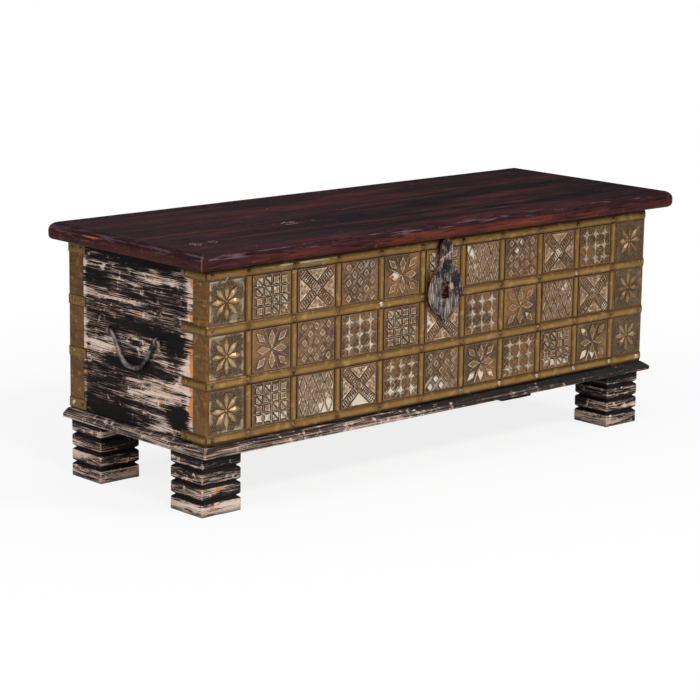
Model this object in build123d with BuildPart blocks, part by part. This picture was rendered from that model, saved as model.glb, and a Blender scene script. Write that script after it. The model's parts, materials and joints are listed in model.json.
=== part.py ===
from build123d import *
import os

# A damchiya chest: a plank box on four ringed block feet, its front covered with carved
# tiles held in a lattice of brass straps, with a heavy hinged lid, an iron hasp and staple
# and an iron bail handle on each end.
# Millimetres. +X runs along the chest, the front faces -Y, +Z is up.
# The origin is on the floor, below the centre of the lid.

# ---------------------------------------------------------------- driving sizes: carcass
body_length = 1105.0
body_depth = 386.0
wall_height = 326.5
wall_thickness = 20.0
floor_thickness = 12.0

foot_height = 108.0
foot_side = 86.6
foot_band_count = 4
foot_groove_depth = 6.0
foot_groove_half_height = 4.0
foot_side_outset = 4.0
foot_front_inset = 6.0

moulding_height = 17.0
moulding_projection = 16.0
moulding_nose_height = 8.0
moulding_top_width = 4.0
moulding_nose_radius = 3.6
moulding_back_run = 5.0

# ---------------------------------------------------------------- driving sizes: lid
lid_thickness = 32.5
lid_side_overhang = 40.0
lid_front_overhang = 37.0
lid_back_overhang = 9.0
lid_lower_height = 7.0
lid_lower_inset = 3.5
lid_edge_height = 20.5
lid_slope_run = 11.0
lid_corner_radius = 5.0
lid_shoulder_round = 6.0
lid_arris_round = 4.0
batten_width = 42.0
batten_thickness = 18.0
batten_end_gap = 8.0
batten_chamfer = 3.0
batten_inset = 222.5

# ---------------------------------------------------------------- driving sizes: brass work
strap_rows = 4
strap_columns = 10
star_panel_width = 83.35
bottom_band_height = 28.5
top_band_drop = 15.1
band_width = 17.5
band_thickness = 3.0
band_round = 1.5
back_band_thickness = 2.2
back_band_round = 0.8
band_side_length = 64.0
band_back_length = 48.0
bead_width = 16.0
bead_thickness = 3.4
sheet_thickness = 1.0
sheet_front_side_width = 34.5
sheet_back_side_width = 40.0
sheet_back_return = 22.0
sheet_top_gap = 0.6
sheet_moulding_gap = 0.3
star_relief = 1.6
star_petals = 8
star_petal_start = 4.0
star_petal_widest = 19.0
star_petal_tip = 32.0
star_petal_half_width = 5.0
nail_head_radius = 3.2
nail_head_height = 1.6
nail_head_taper = 40.0
nail_shank_radius = 1.0
nail_grip = 13.0
nail_edge_distance = 11.0

# ---------------------------------------------------------------- driving sizes: tiles
tile_side_gap = 0.9
tile_end_gap = 0.9
tile_ground = 1.2
tile_relief = 1.8
tile_border = 1.8
motif_margin = 0.7

# ---------------------------------------------------------------- driving sizes: hasp
hasp_thickness = 3.0
hasp_behind_gap = 4.1
hasp_neck_width = 31.0
hasp_belly_width = 87.0
hasp_toe_width = 20.0
hasp_tip_width = 9.0
hasp_neck_length = 49.0
hasp_shoulder_length = 46.0
hasp_belly_length = 46.0
hasp_tip_length = 19.0
hasp_slot_width = 19.0
hasp_slot_height = 31.0
hasp_top_above_eye = 1.8
hasp_bow_out = 0.72
hasp_bow_up = 0.52
hasp_bow_down = 0.62
eye_wire_radius = 1.3
eye_shank_radius = 1.1
eye_ring_radius = 4.0
eye_hole_radius = 2.2
eye_below_lid = 6.9
eye_grip = 14.0
staple_wire_radius = 2.0
staple_leg_spacing = 20.0
staple_reach = 20.5
staple_bend_radius = 6.0
staple_grip = 15.0

# ---------------------------------------------------------------- driving sizes: handles
handle_wire_radius = 3.2
handle_eye_spacing = 134.0
handle_drop = 56.0
handle_bottom_width = 50.0
handle_bottom_bend = 30.0
handle_end_bend = 4.5
handle_below_lid = 145.5
handle_stub_inside = 7.0
handle_stub_outside = 6.5
handle_curl = 6.0
handle_eye_wire_radius = 1.7
handle_eye_shank_radius = 1.4
handle_eye_clearance = 0.5
handle_eye_gap = 0.5
handle_eye_grip = 15.0

# ---------------------------------------------------------------- driving sizes: hinges
hinge_inset = 172.5
hinge_leaf_width = 32.0
hinge_leaf_thickness = 2.0
hinge_lower_length = 58.0
hinge_upper_length = 66.0
hinge_knuckle_radius = 4.2
hinge_knuckle_gap = 0.3
hinge_face_gap = 0.4
hinge_pin_radius = 1.6
hinge_pin_clearance = 0.05
hinge_middle_width = 11.0
hinge_notch_gap = 0.5
hinge_nail_count = 3
hinge_nail_pitch = 13.0
hinge_nail_grip = 12.0
hinge_nail_end_distance = 8.0
hinge_nail_head_height = 1.2

# ---------------------------------------------------------------- derived places
wall_bottom = foot_height
wall_top = wall_bottom + wall_height
lid_bottom = wall_top
lid_top = lid_bottom + lid_thickness
lid_length = body_length + 2 * lid_side_overhang
lid_depth = body_depth + lid_front_overhang + lid_back_overhang
shoulder_low = lid_bottom + (lid_lower_height + lid_edge_height) / 2
shoulder_high = lid_bottom + (lid_edge_height + lid_thickness) / 2
body_center_y = (lid_front_overhang - lid_back_overhang) / 2
front_face = body_center_y - body_depth / 2
back_face = body_center_y + body_depth / 2
end_face = body_length / 2
inner_length = body_length - 2 * wall_thickness
inner_depth = body_depth - 2 * wall_thickness
moulding_top = wall_bottom + moulding_height
tile_columns = strap_columns - 1
tile_rows = strap_rows - 1
column_pitch = (body_length - 2 * star_panel_width - bead_width) / tile_columns
row_pitch = (wall_height - bottom_band_height - top_band_drop) / tile_rows
bottom_band = wall_bottom + bottom_band_height
column_places = [(n - tile_columns / 2) * column_pitch for n in range(strap_columns)]
row_places = [bottom_band + n * row_pitch for n in range(strap_rows)]
tile_width = column_pitch - bead_width - 2 * tile_side_gap
tile_height = row_pitch - band_width - 2 * tile_end_gap
motif_size = tile_height - 2 * tile_border - 2 * motif_margin
star_center_x = end_face - star_panel_width / 2
batten_x = inner_length / 2 - batten_inset
hinge_place_x = end_face - hinge_inset
handle_height = lid_bottom - handle_below_lid
sheet_bottom = moulding_top + sheet_moulding_gap
sheet_top = wall_top - sheet_top_gap
foot_x = end_face + foot_side_outset - foot_side / 2
foot_y = body_depth / 2 - foot_front_inset - foot_side / 2
hasp_y = front_face - band_thickness - hasp_behind_gap - hasp_thickness / 2
eye_z = lid_bottom - eye_below_lid
hasp_top = eye_z + hasp_top_above_eye
hasp_belly = hasp_top - hasp_neck_length - hasp_shoulder_length
handle_axis_offset = (
    handle_wire_radius + handle_eye_clearance + 2 * handle_eye_wire_radius + handle_eye_gap
)
handle_eye_radius = handle_wire_radius + handle_eye_clearance + handle_eye_wire_radius
hinge_axis_y = back_face + hinge_face_gap + hinge_knuckle_radius
hinge_axis_z = lid_bottom - hinge_face_gap - hinge_knuckle_radius
hinge_swing_radius = hinge_knuckle_radius + hinge_knuckle_gap

os.makedirs("parts", exist_ok=True)


def write(piece, label):
    """Name a finished piece and write it as a STEP file of that name."""
    piece.part.label = label
    export_step(piece.part, "parts/" + label + ".step")


def front_place(x, z, proud=0.0):
    """A plane on the front of the chest, facing out, at x and z."""
    return Plane((x, front_face - proud, z), x_dir=(1, 0, 0), z_dir=(0, -1, 0))


def end_place(side, y, z, proud=0.0):
    """A plane on the left (-1) or right (+1) end of the chest, facing out."""
    return Plane((side * (end_face + proud), y, z), x_dir=(0, side, 0), z_dir=(side, 0, 0))


# ================================================================ carcass
for label, y in (("front_panel", front_face + wall_thickness / 2),
                 ("back_panel", back_face - wall_thickness / 2)):
    with BuildPart() as long_panel:
        with BuildSketch(Plane.XY.offset(wall_bottom)):
            with Locations((0, y)):
                Rectangle(body_length, wall_thickness)
        extrude(amount=wall_height)
        if label == "back_panel":
            # shallow notches in the top edge let the upper hinge leaves pass under the lid
            with BuildSketch(Plane.XY.offset(wall_top)):
                with Locations((-hinge_place_x, y), (hinge_place_x, y)):
                    Rectangle(hinge_leaf_width + 2 * hinge_notch_gap, wall_thickness)
            extrude(amount=-(hinge_leaf_thickness + hinge_knuckle_gap), mode=Mode.SUBTRACT)
    write(long_panel, label)

for label, side in (("left_panel", -1), ("right_panel", 1)):
    with BuildPart() as end_panel:
        with BuildSketch(Plane.XY.offset(wall_bottom)):
            with Locations((side * (end_face - wall_thickness / 2), body_center_y)):
                Rectangle(wall_thickness, inner_depth)
        extrude(amount=wall_height)
    write(end_panel, label)

with BuildPart() as floor_board:
    with BuildSketch(Plane.XY.offset(wall_bottom)):
        with Locations((0, body_center_y)):
            Rectangle(inner_length, inner_depth)
    extrude(amount=floor_thickness)
write(floor_board, "floor_board")


def moulding_profile():
    """The strip's section: flat back and underside, rounded nose, sloping top."""
    Polygon(
        (0, 0),
        (moulding_projection, 0),
        (moulding_projection, moulding_nose_height),
        (moulding_top_width, moulding_height),
        (0, moulding_height),
        align=None,
    )
    nose = vertices().group_by(Axis.X)[-1]
    fillet(nose, radius=moulding_nose_radius)


with BuildPart() as moulding_front:
    strip_end = end_face + moulding_projection
    with BuildSketch(Plane((-strip_end, front_face, wall_bottom), x_dir=(0, -1, 0), z_dir=(-1, 0, 0))):
        moulding_profile()
    extrude(amount=-2 * strip_end)
    for side in (-1, 1):
        mitre = Plane((side * end_face, front_face, 0), z_dir=(side, 1, 0))
        split(bisect_by=mitre, keep=Keep.BOTTOM)
write(moulding_front, "moulding_front")

for label, side in (("moulding_left", -1), ("moulding_right", 1)):
    with BuildPart() as moulding_end:
        strip_back = back_face + moulding_back_run
        with BuildSketch(Plane((side * end_face, strip_back, wall_bottom), x_dir=(side, 0, 0),
                               z_dir=(0, -side, 0))):
            moulding_profile()
        extrude(amount=side * (strip_back - front_face + moulding_projection))
        mitre = Plane((side * end_face, front_face, 0), z_dir=(side, 1, 0))
        split(bisect_by=mitre, keep=Keep.TOP)
    write(moulding_end, label)

foot_band_height = foot_height / foot_band_count
foot_places = {
    "foot_front_left": (-foot_x, body_center_y - foot_y),
    "foot_front_right": (foot_x, body_center_y - foot_y),
    "foot_back_left": (-foot_x, body_center_y + foot_y),
    "foot_back_right": (foot_x, body_center_y + foot_y),
}


def foot_profile(center):
    """A square block's outline seen level, with a V groove between each two bands."""
    half = foot_side / 2
    edge = [(half, 0)]
    for n in range(1, foot_band_count):
        joint = n * foot_band_height
        edge += [
            (half, joint - foot_groove_half_height),
            (half - foot_groove_depth, joint),
            (half, joint + foot_groove_half_height),
        ]
    edge.append((half, foot_height))
    outline = edge + [(-across, height) for across, height in reversed(edge)]
    Polygon(*[(center + across, height) for across, height in outline], align=None)


for label, (x, y) in foot_places.items():
    with BuildPart() as foot:
        with BuildSketch(Plane.XZ.offset(-y)):
            foot_profile(x)
        extrude(amount=foot_side / 2, both=True)
        with BuildSketch(Plane.YZ.offset(x)):
            foot_profile(y)
        extrude(amount=foot_side / 2, both=True, mode=Mode.INTERSECT)
    write(foot, label)

# ================================================================ lid
# the edge's outline from the underside up: eased below, upright, then sloping in to the top
lid_levels = [
    (0.0, lid_lower_inset),
    (lid_lower_height, 0.0),
    (lid_edge_height, 0.0),
    (lid_thickness, lid_slope_run),
]
with BuildPart() as lid_board:
    for lower, upper in zip(lid_levels, lid_levels[1:]):
        for height, inset in (lower, upper):
            with BuildSketch(Plane.XY.offset(lid_bottom + height)):
                RectangleRounded(lid_length - 2 * inset, lid_depth - 2 * inset, lid_corner_radius)
        loft()
    shoulder = lid_board.edges().filter_by_position(Axis.Z, shoulder_low, shoulder_high)
    fillet(shoulder, radius=lid_shoulder_round)
    fillet(lid_board.faces().sort_by(Axis.Z)[-1].edges(), radius=lid_arris_round)
write(lid_board, "lid_board")

for label, side in (("lid_batten_left", -1), ("lid_batten_right", 1)):
    with BuildPart() as batten:
        with BuildSketch(Plane.XY.offset(lid_bottom)):
            with Locations((side * batten_x, body_center_y)):
                Rectangle(batten_width, inner_depth - 2 * batten_end_gap)
        extrude(amount=-batten_thickness)
        chamfer(batten.faces().sort_by(Axis.Z)[0].edges(), length=batten_chamfer)
    write(batten, label)

# ================================================================ brass corner sheets
sheet_height = sheet_top - sheet_bottom


def petal(inner, widest, outer, half_width):
    """A four-sided petal lying along the local X direction."""
    Polygon((inner, 0), (widest, -half_width), (outer, 0), (widest, half_width), align=None)


for label, side in (("corner_sheet_front_left", -1), ("corner_sheet_front_right", 1)):
    with BuildPart() as corner_sheet:
        with BuildSketch(Plane.XY.offset(sheet_bottom)):
            corner_x = side * (end_face + sheet_thickness)
            corner_y = front_face - sheet_thickness
            leg_x = side * (end_face - star_panel_width)
            leg_y = front_face + sheet_front_side_width
            with BuildLine():
                Polyline(
                    (leg_x, front_face),
                    (leg_x, corner_y),
                    (corner_x, corner_y),
                    (corner_x, leg_y),
                    (side * end_face, leg_y),
                    (side * end_face, front_face),
                    close=True,
                )
            make_face()
        extrude(amount=sheet_height)
        for n in range(tile_rows):
            # embossed petals in each star panel
            star_z = (row_places[n] + row_places[n + 1]) / 2
            with BuildSketch(front_place(side * star_center_x, star_z, sheet_thickness)):
                with PolarLocations(0, star_petals):
                    petal(star_petal_start, star_petal_widest, star_petal_tip, star_petal_half_width)
            extrude(amount=star_relief)
    write(corner_sheet, label)

for label, side in (("corner_sheet_back_left", -1), ("corner_sheet_back_right", 1)):
    with BuildPart() as corner_sheet:
        with BuildSketch(Plane.XY.offset(sheet_bottom)):
            corner_x = side * (end_face + sheet_thickness)
            corner_y = back_face + sheet_thickness
            leg_x = side * (end_face - sheet_back_return)
            leg_y = back_face - sheet_back_side_width
            with BuildLine():
                Polyline(
                    (leg_x, back_face),
                    (leg_x, corner_y),
                    (corner_x, corner_y),
                    (corner_x, leg_y),
                    (side * end_face, leg_y),
                    (side * end_face, back_face),
                    close=True,
                )
            make_face()
        extrude(amount=sheet_height)
    write(corner_sheet, label)

# ================================================================ brass straps
row_names = ("bottom", "lower", "upper", "top")
band_outset = end_face + band_thickness
band_front = front_face - band_thickness
band_end_y = front_face + band_side_length

for name, z in zip(row_names, row_places):
    with BuildPart() as band:
        with BuildSketch(Plane.XY.offset(z - band_width / 2)):
            with BuildLine():
                Polyline(
                    (-end_face, band_end_y),
                    (-band_outset, band_end_y),
                    (-band_outset, band_front),
                    (band_outset, band_front),
                    (band_outset, band_end_y),
                    (end_face, band_end_y),
                    (end_face, front_face),
                    (-end_face, front_face),
                    close=True,
                )
            make_face()
            # the band lies over the corner sheets, so its back is hollowed by their thickness
            for side in (-1, 1):
                under_front = star_panel_width + sheet_thickness
                under_side = sheet_front_side_width + sheet_thickness
                with Locations((side * (end_face + sheet_thickness - under_front / 2),
                                front_face - sheet_thickness / 2)):
                    Rectangle(under_front, sheet_thickness, mode=Mode.SUBTRACT)
                with Locations((side * (end_face + sheet_thickness / 2),
                                front_face - sheet_thickness + under_side / 2)):
                    Rectangle(sheet_thickness, under_side, mode=Mode.SUBTRACT)
        extrude(amount=band_width)
        front_skin = band.faces().sort_by(Axis.Y)[0]
        side_skins = [band.faces().sort_by(Axis.X)[0], band.faces().sort_by(Axis.X)[-1]]
        long_edges = front_skin.edges().filter_by(Axis.X)
        for skin in side_skins:
            long_edges += skin.edges().filter_by(Axis.Y)
        fillet(long_edges + front_skin.edges().filter_by(Axis.Z), radius=band_round)
    write(band, "band_" + name)

for label, side in (("back_bands_left", -1), ("back_bands_right", 1)):
    with BuildPart() as back_bands:
        for z in row_places:
            with BuildSketch(Plane.XY.offset(z - band_width / 2)):
                inner_x = side * (end_face + sheet_thickness)
                inner_y = back_face + sheet_thickness
                outer_x = side * (end_face + back_band_thickness)
                outer_y = back_face + back_band_thickness
                side_y = back_face - band_back_length
                back_x = side * (end_face - sheet_back_return)
                with BuildLine():
                    Polyline(
                        (side * end_face, side_y),
                        (outer_x, side_y),
                        (outer_x, outer_y),
                        (back_x, outer_y),
                        (back_x, inner_y),
                        (inner_x, inner_y),
                        (inner_x, back_face - sheet_back_side_width),
                        (side * end_face, back_face - sheet_back_side_width),
                        close=True,
                    )
                make_face()
            extrude(amount=band_width)
        skin = back_bands.faces().group_by(Axis.X)[0 if side < 0 else -1]
        fillet(skin.edges().filter_by(Axis.Y), radius=back_band_round)
    write(back_bands, label)

for n in range(tile_rows):
    low = row_places[n] + band_width / 2
    high = row_places[n + 1] - band_width / 2
    with BuildPart() as bead_row:
        with BuildSketch(Plane.XY.offset(low)):
            with Locations(*[(x, front_face) for x in column_places]):
                Ellipse(bead_width / 2, bead_thickness)
            with Locations((0, front_face + bead_thickness / 2)):
                Rectangle(body_length, bead_thickness, mode=Mode.SUBTRACT)
        extrude(amount=high - low)
    write(bead_row, "beads_row_" + str(n + 1))

# ================================================================ nails
for name, z in zip(row_names, row_places):
    with BuildPart() as nails:
        front_nails = column_places + [side * (end_face - nail_edge_distance) for side in (-1, 1)]
        places = [front_place(x, z, band_thickness) for x in front_nails]
        for side in (-1, 1):
            places.append(end_place(side, band_end_y - nail_edge_distance, z, band_thickness))
            for y in (back_face - band_back_length + nail_edge_distance,
                      back_face - nail_edge_distance):
                places.append(end_place(side, y, z, back_band_thickness))
        for place in places:
            with BuildSketch(place):
                Circle(nail_head_radius)
            extrude(amount=nail_head_height, taper=nail_head_taper)
            with BuildSketch(place):
                Circle(nail_shank_radius)
            extrude(amount=-(band_thickness + nail_grip))
    write(nails, "nails_" + name)

# ================================================================ carved tiles
half_motif = motif_size / 2


def carve_kites():
    """Four long petals on the axes and four shorter ones to the corners."""
    long_petal = [half_motif * share for share in (0.06, 0.62, 1.0, 0.2)]
    corner_petal = [half_motif * share for share in (0.6, 0.95, 1.3, 0.18)]
    with PolarLocations(0, 4):
        petal(*long_petal)
    with PolarLocations(0, 4, start_angle=45):
        petal(*corner_petal)


def carve_broken_squares():
    """Small squares in two quarters, halved squares in the other two."""
    cells = 4
    cell = motif_size / cells
    square = cell * 0.7
    for column in range(cells):
        for row in range(cells):
            x, z = [(n - (cells - 1) / 2) * cell for n in (column, row)]
            with Locations((x, z)):
                if (column < cells / 2) == (row < cells / 2):
                    Rectangle(square, square)
                else:
                    near = square / 2
                    Polygon((-near, -near), (near, -near), (-near, near), align=None)


def carve_crossed_braids():
    """Two crossed bands of beads leave four plain triangles."""
    apex = half_motif * 0.28
    base = half_motif * 0.95
    with PolarLocations(0, 4):
        Polygon((apex, 0), (base, apex - base), (base, base - apex), align=None)
    bead = half_motif * 0.11
    first_bead = half_motif * 0.14
    bead_pitch = half_motif * 0.2
    beads = 6
    for n in range(beads):
        with PolarLocations(first_bead + n * bead_pitch, 4, start_angle=45):
            Rectangle(bead, bead)


def carve_lattice(across, up, half_across, half_up):
    """Staggered rows of diamonds."""
    for column in range(across):
        for row in range(up):
            if (column + row) % 2 == 0:
                x = (column - (across - 1) / 2) * motif_size / across
                z = (row - (up - 1) / 2) * motif_size / up
                with Locations((x, z)):
                    Polygon(
                        (-half_across, 0), (0, -half_up), (half_across, 0), (0, half_up),
                        align=None,
                    )


def carve_diamonds():
    """Five rows of broad diamonds."""
    half_across = half_motif * 0.16
    half_up = half_motif * 0.18
    carve_lattice(5, 5, half_across, half_up)


def carve_long_diamonds():
    """Five rows of narrow diamonds."""
    half_across = half_motif * 0.11
    half_up = half_motif * 0.19
    carve_lattice(7, 5, half_across, half_up)


def carve_four_point_stars():
    """Nine stars whose sides curve in, as overlapping circles leave them."""
    stars = 3
    pitch = motif_size / stars
    point = pitch * 0.42
    waist = point * 0.34
    outline = []
    for turn in range(4):
        corner = Vector(point, 0).rotate(Axis.Z, 90 * turn)
        hollow = Vector(waist, 0).rotate(Axis.Z, 90 * turn + 45)
        outline += [(corner.X, corner.Y), (hollow.X, hollow.Y)]
    with GridLocations(pitch, pitch, stars, stars):
        Polygon(*outline, align=None)


motifs = {
    "K": carve_kites,
    "A": carve_broken_squares,
    "X": carve_crossed_braids,
    "D": carve_diamonds,
    "L": carve_long_diamonds,
    "Q": carve_four_point_stars,
}
# the tiles' motifs, left to right, from the bottom row up
tile_motifs = ("ALXQDKQAK", "KDQAXQKLX", "AXDKALDXQ")

for column in range(tile_columns):
    tile_x = (column_places[column] + column_places[column + 1]) / 2
    with BuildPart() as tiles:
        for row in range(tile_rows):
            tile_z = (row_places[row] + row_places[row + 1]) / 2
            with BuildSketch(front_place(tile_x, tile_z)):
                Rectangle(tile_width, tile_height)
            extrude(amount=tile_ground)
            with BuildSketch(front_place(tile_x, tile_z, tile_ground)):
                Rectangle(tile_width, tile_height)
                inside = (tile_width - 2 * tile_border, tile_height - 2 * tile_border)
                Rectangle(*inside, mode=Mode.SUBTRACT)
                motifs[tile_motifs[row][column]]()
            extrude(amount=tile_relief)
    write(tiles, "carved_tiles_column_" + str(column + 1))

# ================================================================ hasp, its eye and the staple
slot_z = hasp_belly
with BuildPart() as hasp:
    with BuildSketch(front_place(0, 0, band_thickness + hasp_behind_gap)):
        neck = hasp_neck_width / 2
        belly = hasp_belly_width / 2
        toe = hasp_toe_width / 2
        tip = hasp_tip_width / 2
        neck_z = hasp_top - hasp_neck_length
        toe_z = hasp_belly - hasp_belly_length
        tip_z = toe_z - hasp_tip_length
        crown = hasp_top - neck
        with BuildLine():
            RadiusArc((0, hasp_top), (neck, crown), neck)
            Line((neck, crown), (neck, neck_z))
            bow = neck + (belly - neck) * hasp_bow_out
            ThreePointArc((neck, neck_z), (bow, hasp_belly + hasp_shoulder_length * hasp_bow_up),
                          (belly, hasp_belly))
            ThreePointArc((belly, hasp_belly), (bow, hasp_belly - hasp_belly_length * hasp_bow_down),
                          (toe, toe_z))
            Line((toe, toe_z), (tip, tip_z))
            Line((tip, tip_z), (0, tip_z))
            mirror(about=Plane.YZ)
        make_face()
        with Locations((0, slot_z)):
            Rectangle(hasp_slot_width, hasp_slot_height, mode=Mode.SUBTRACT)
        with Locations((0, eye_z - eye_ring_radius)):
            Circle(eye_hole_radius, mode=Mode.SUBTRACT)
    extrude(amount=hasp_thickness)
write(hasp, "hasp")

with BuildPart() as hasp_eye:
    with BuildSketch(Plane.XZ.offset(-hasp_y)):
        with Locations((0, eye_z - eye_ring_radius)):
            Circle(eye_wire_radius)
    revolve(axis=Axis((0, hasp_y, eye_z), (1, 0, 0)))
    with BuildSketch(Plane((0, hasp_y, eye_z + eye_ring_radius))):
        Circle(eye_shank_radius)
    extrude(amount=eye_below_lid - eye_ring_radius + eye_grip)
write(hasp_eye, "hasp_eye")

with BuildPart() as staple:
    leg = staple_leg_spacing / 2
    reach_y = front_face - staple_reach + staple_wire_radius
    with BuildLine(Plane.YZ):
        staple_path = FilletPolyline(
            (front_face + staple_grip, slot_z + leg),
            (reach_y, slot_z + leg),
            (reach_y, slot_z - leg),
            (front_face + staple_grip, slot_z - leg),
            radius=staple_bend_radius,
        )
    with BuildSketch(Plane(staple_path @ 0, z_dir=staple_path % 0)):
        Circle(staple_wire_radius)
    sweep(path=staple_path)
write(staple, "staple")

# ================================================================ bail handles and their eyes
for label, side in (("handle_left", -1), ("handle_right", 1)):
    handle_x = side * (end_face + handle_axis_offset)
    half_spacing = handle_eye_spacing / 2
    end_y = half_spacing + handle_stub_outside
    knee_y = half_spacing - handle_stub_inside
    low_y = handle_bottom_width / 2
    points = [
        (-end_y, -handle_curl), (-end_y, 0), (-knee_y, 0), (-low_y, -handle_drop),
        (low_y, -handle_drop), (knee_y, 0), (end_y, 0), (end_y, -handle_curl),
    ]
    with BuildPart() as handle:
        bail_plane = Plane((handle_x, body_center_y, handle_height), x_dir=(0, 1, 0),
                           z_dir=(1, 0, 0))
        with BuildLine(bail_plane):
            bends = [handle_end_bend, handle_end_bend, handle_bottom_bend]
            bail_path = FilletPolyline(*points, radius=bends + bends[::-1])
        with BuildSketch(Plane(bail_path @ 0, z_dir=bail_path % 0)):
            Circle(handle_wire_radius)
        sweep(path=bail_path)
    write(handle, label)

for label, side in (("handle_eyes_left", -1), ("handle_eyes_right", 1)):
    with BuildPart() as handle_eyes:
        eye_x = side * (end_face + handle_axis_offset)
        for end in (-1, 1):
            eye_y = body_center_y + end * handle_eye_spacing / 2
            with BuildSketch(Plane.XY.offset(handle_height)):
                with Locations((eye_x - side * handle_eye_radius, eye_y)):
                    Circle(handle_eye_wire_radius)
            revolve(axis=Axis((eye_x, eye_y, handle_height), (0, 1, 0)))
            shank_start = handle_axis_offset - handle_eye_radius
            with BuildSketch(end_place(side, eye_y, handle_height, shank_start)):
                Circle(handle_eye_shank_radius)
            extrude(amount=-(shank_start + handle_eye_grip))
    write(handle_eyes, label)

# ================================================================ hinges
pin_hole_radius = hinge_pin_radius + hinge_pin_clearance
middle_half = hinge_middle_width / 2
leaf_half = hinge_leaf_width / 2
leaf_top = lid_bottom
leaf_start = hinge_axis_y - hinge_swing_radius


def across_hinge(x):
    """A plane square to the hinge line at x, its first axis +Y and its second +Z."""
    return Plane((x, hinge_axis_y, hinge_axis_z), x_dir=(0, 1, 0), z_dir=(1, 0, 0))


for name, side in (("left", -1), ("right", 1)):
    hinge_x = side * hinge_place_x
    with BuildPart() as lower_leaf:
        with BuildSketch(Plane((hinge_x, back_face, hinge_axis_z), x_dir=(-1, 0, 0),
                               z_dir=(0, 1, 0))):
            with Locations((0, -hinge_lower_length / 2)):
                Rectangle(hinge_leaf_width, hinge_lower_length)
        extrude(amount=hinge_leaf_thickness)
        for start in (-leaf_half, middle_half + hinge_knuckle_gap):
            with BuildSketch(across_hinge(hinge_x + start)):
                Circle(hinge_knuckle_radius)
            extrude(amount=leaf_half - middle_half - hinge_knuckle_gap)
        with BuildSketch(across_hinge(hinge_x - middle_half - hinge_knuckle_gap)):
            Circle(hinge_swing_radius)
        extrude(amount=hinge_middle_width + 2 * hinge_knuckle_gap, mode=Mode.SUBTRACT)
        with BuildSketch(across_hinge(hinge_x - leaf_half)):
            Circle(pin_hole_radius)
        extrude(amount=hinge_leaf_width, mode=Mode.SUBTRACT)
    write(lower_leaf, "hinge_lower_leaf_" + name)

    with BuildPart() as upper_leaf:
        with BuildSketch(Plane.XY.offset(leaf_top)):
            with Locations((hinge_x, leaf_start - hinge_upper_length / 2)):
                Rectangle(hinge_leaf_width, hinge_upper_length)
            with Locations((hinge_x, (leaf_start + hinge_axis_y) / 2)):
                Rectangle(hinge_middle_width, hinge_axis_y - leaf_start)
        extrude(amount=-hinge_leaf_thickness)
        with BuildSketch(across_hinge(hinge_x - middle_half)):
            Circle(hinge_knuckle_radius)
        extrude(amount=hinge_middle_width)
        with BuildSketch(across_hinge(hinge_x - middle_half)):
            Circle(pin_hole_radius)
        extrude(amount=hinge_middle_width, mode=Mode.SUBTRACT)
    write(upper_leaf, "hinge_upper_leaf_" + name)

    with BuildPart() as hinge_pin:
        with BuildSketch(across_hinge(hinge_x - leaf_half)):
            Circle(hinge_pin_radius)
        extrude(amount=hinge_leaf_width)
    write(hinge_pin, "hinge_pin_" + name)


hinge_nail_steps = [n * hinge_nail_pitch + hinge_nail_end_distance for n in range(hinge_nail_count)]
lower_nail_places = []
upper_nail_places = []
for side in (-1, 1):
    nail_x = side * hinge_place_x
    for step in hinge_nail_steps:
        nail_z = hinge_axis_z - hinge_lower_length + step
        nail_y = leaf_start - hinge_upper_length + step
        lower_nail_places.append(Plane((nail_x, back_face + hinge_leaf_thickness, nail_z),
                                       x_dir=(-1, 0, 0), z_dir=(0, 1, 0)))
        upper_nail_places.append(Plane((nail_x, nail_y, leaf_top - hinge_leaf_thickness),
                                       x_dir=(1, 0, 0), z_dir=(0, 0, -1)))

for label, places in (("hinge_nails_lower", lower_nail_places),
                      ("hinge_nails_upper", upper_nail_places)):
    with BuildPart() as hinge_nails:
        for place in places:
            with BuildSketch(place):
                Circle(nail_head_radius)
            extrude(amount=hinge_nail_head_height, taper=nail_head_taper)
            with BuildSketch(place):
                Circle(nail_shank_radius)
            extrude(amount=-(hinge_leaf_thickness + hinge_nail_grip))
    write(hinge_nails, label)
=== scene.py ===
"""A damchiya chest: carved tiles in a brass lattice, worn paint, stained lid and forged iron."""

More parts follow.
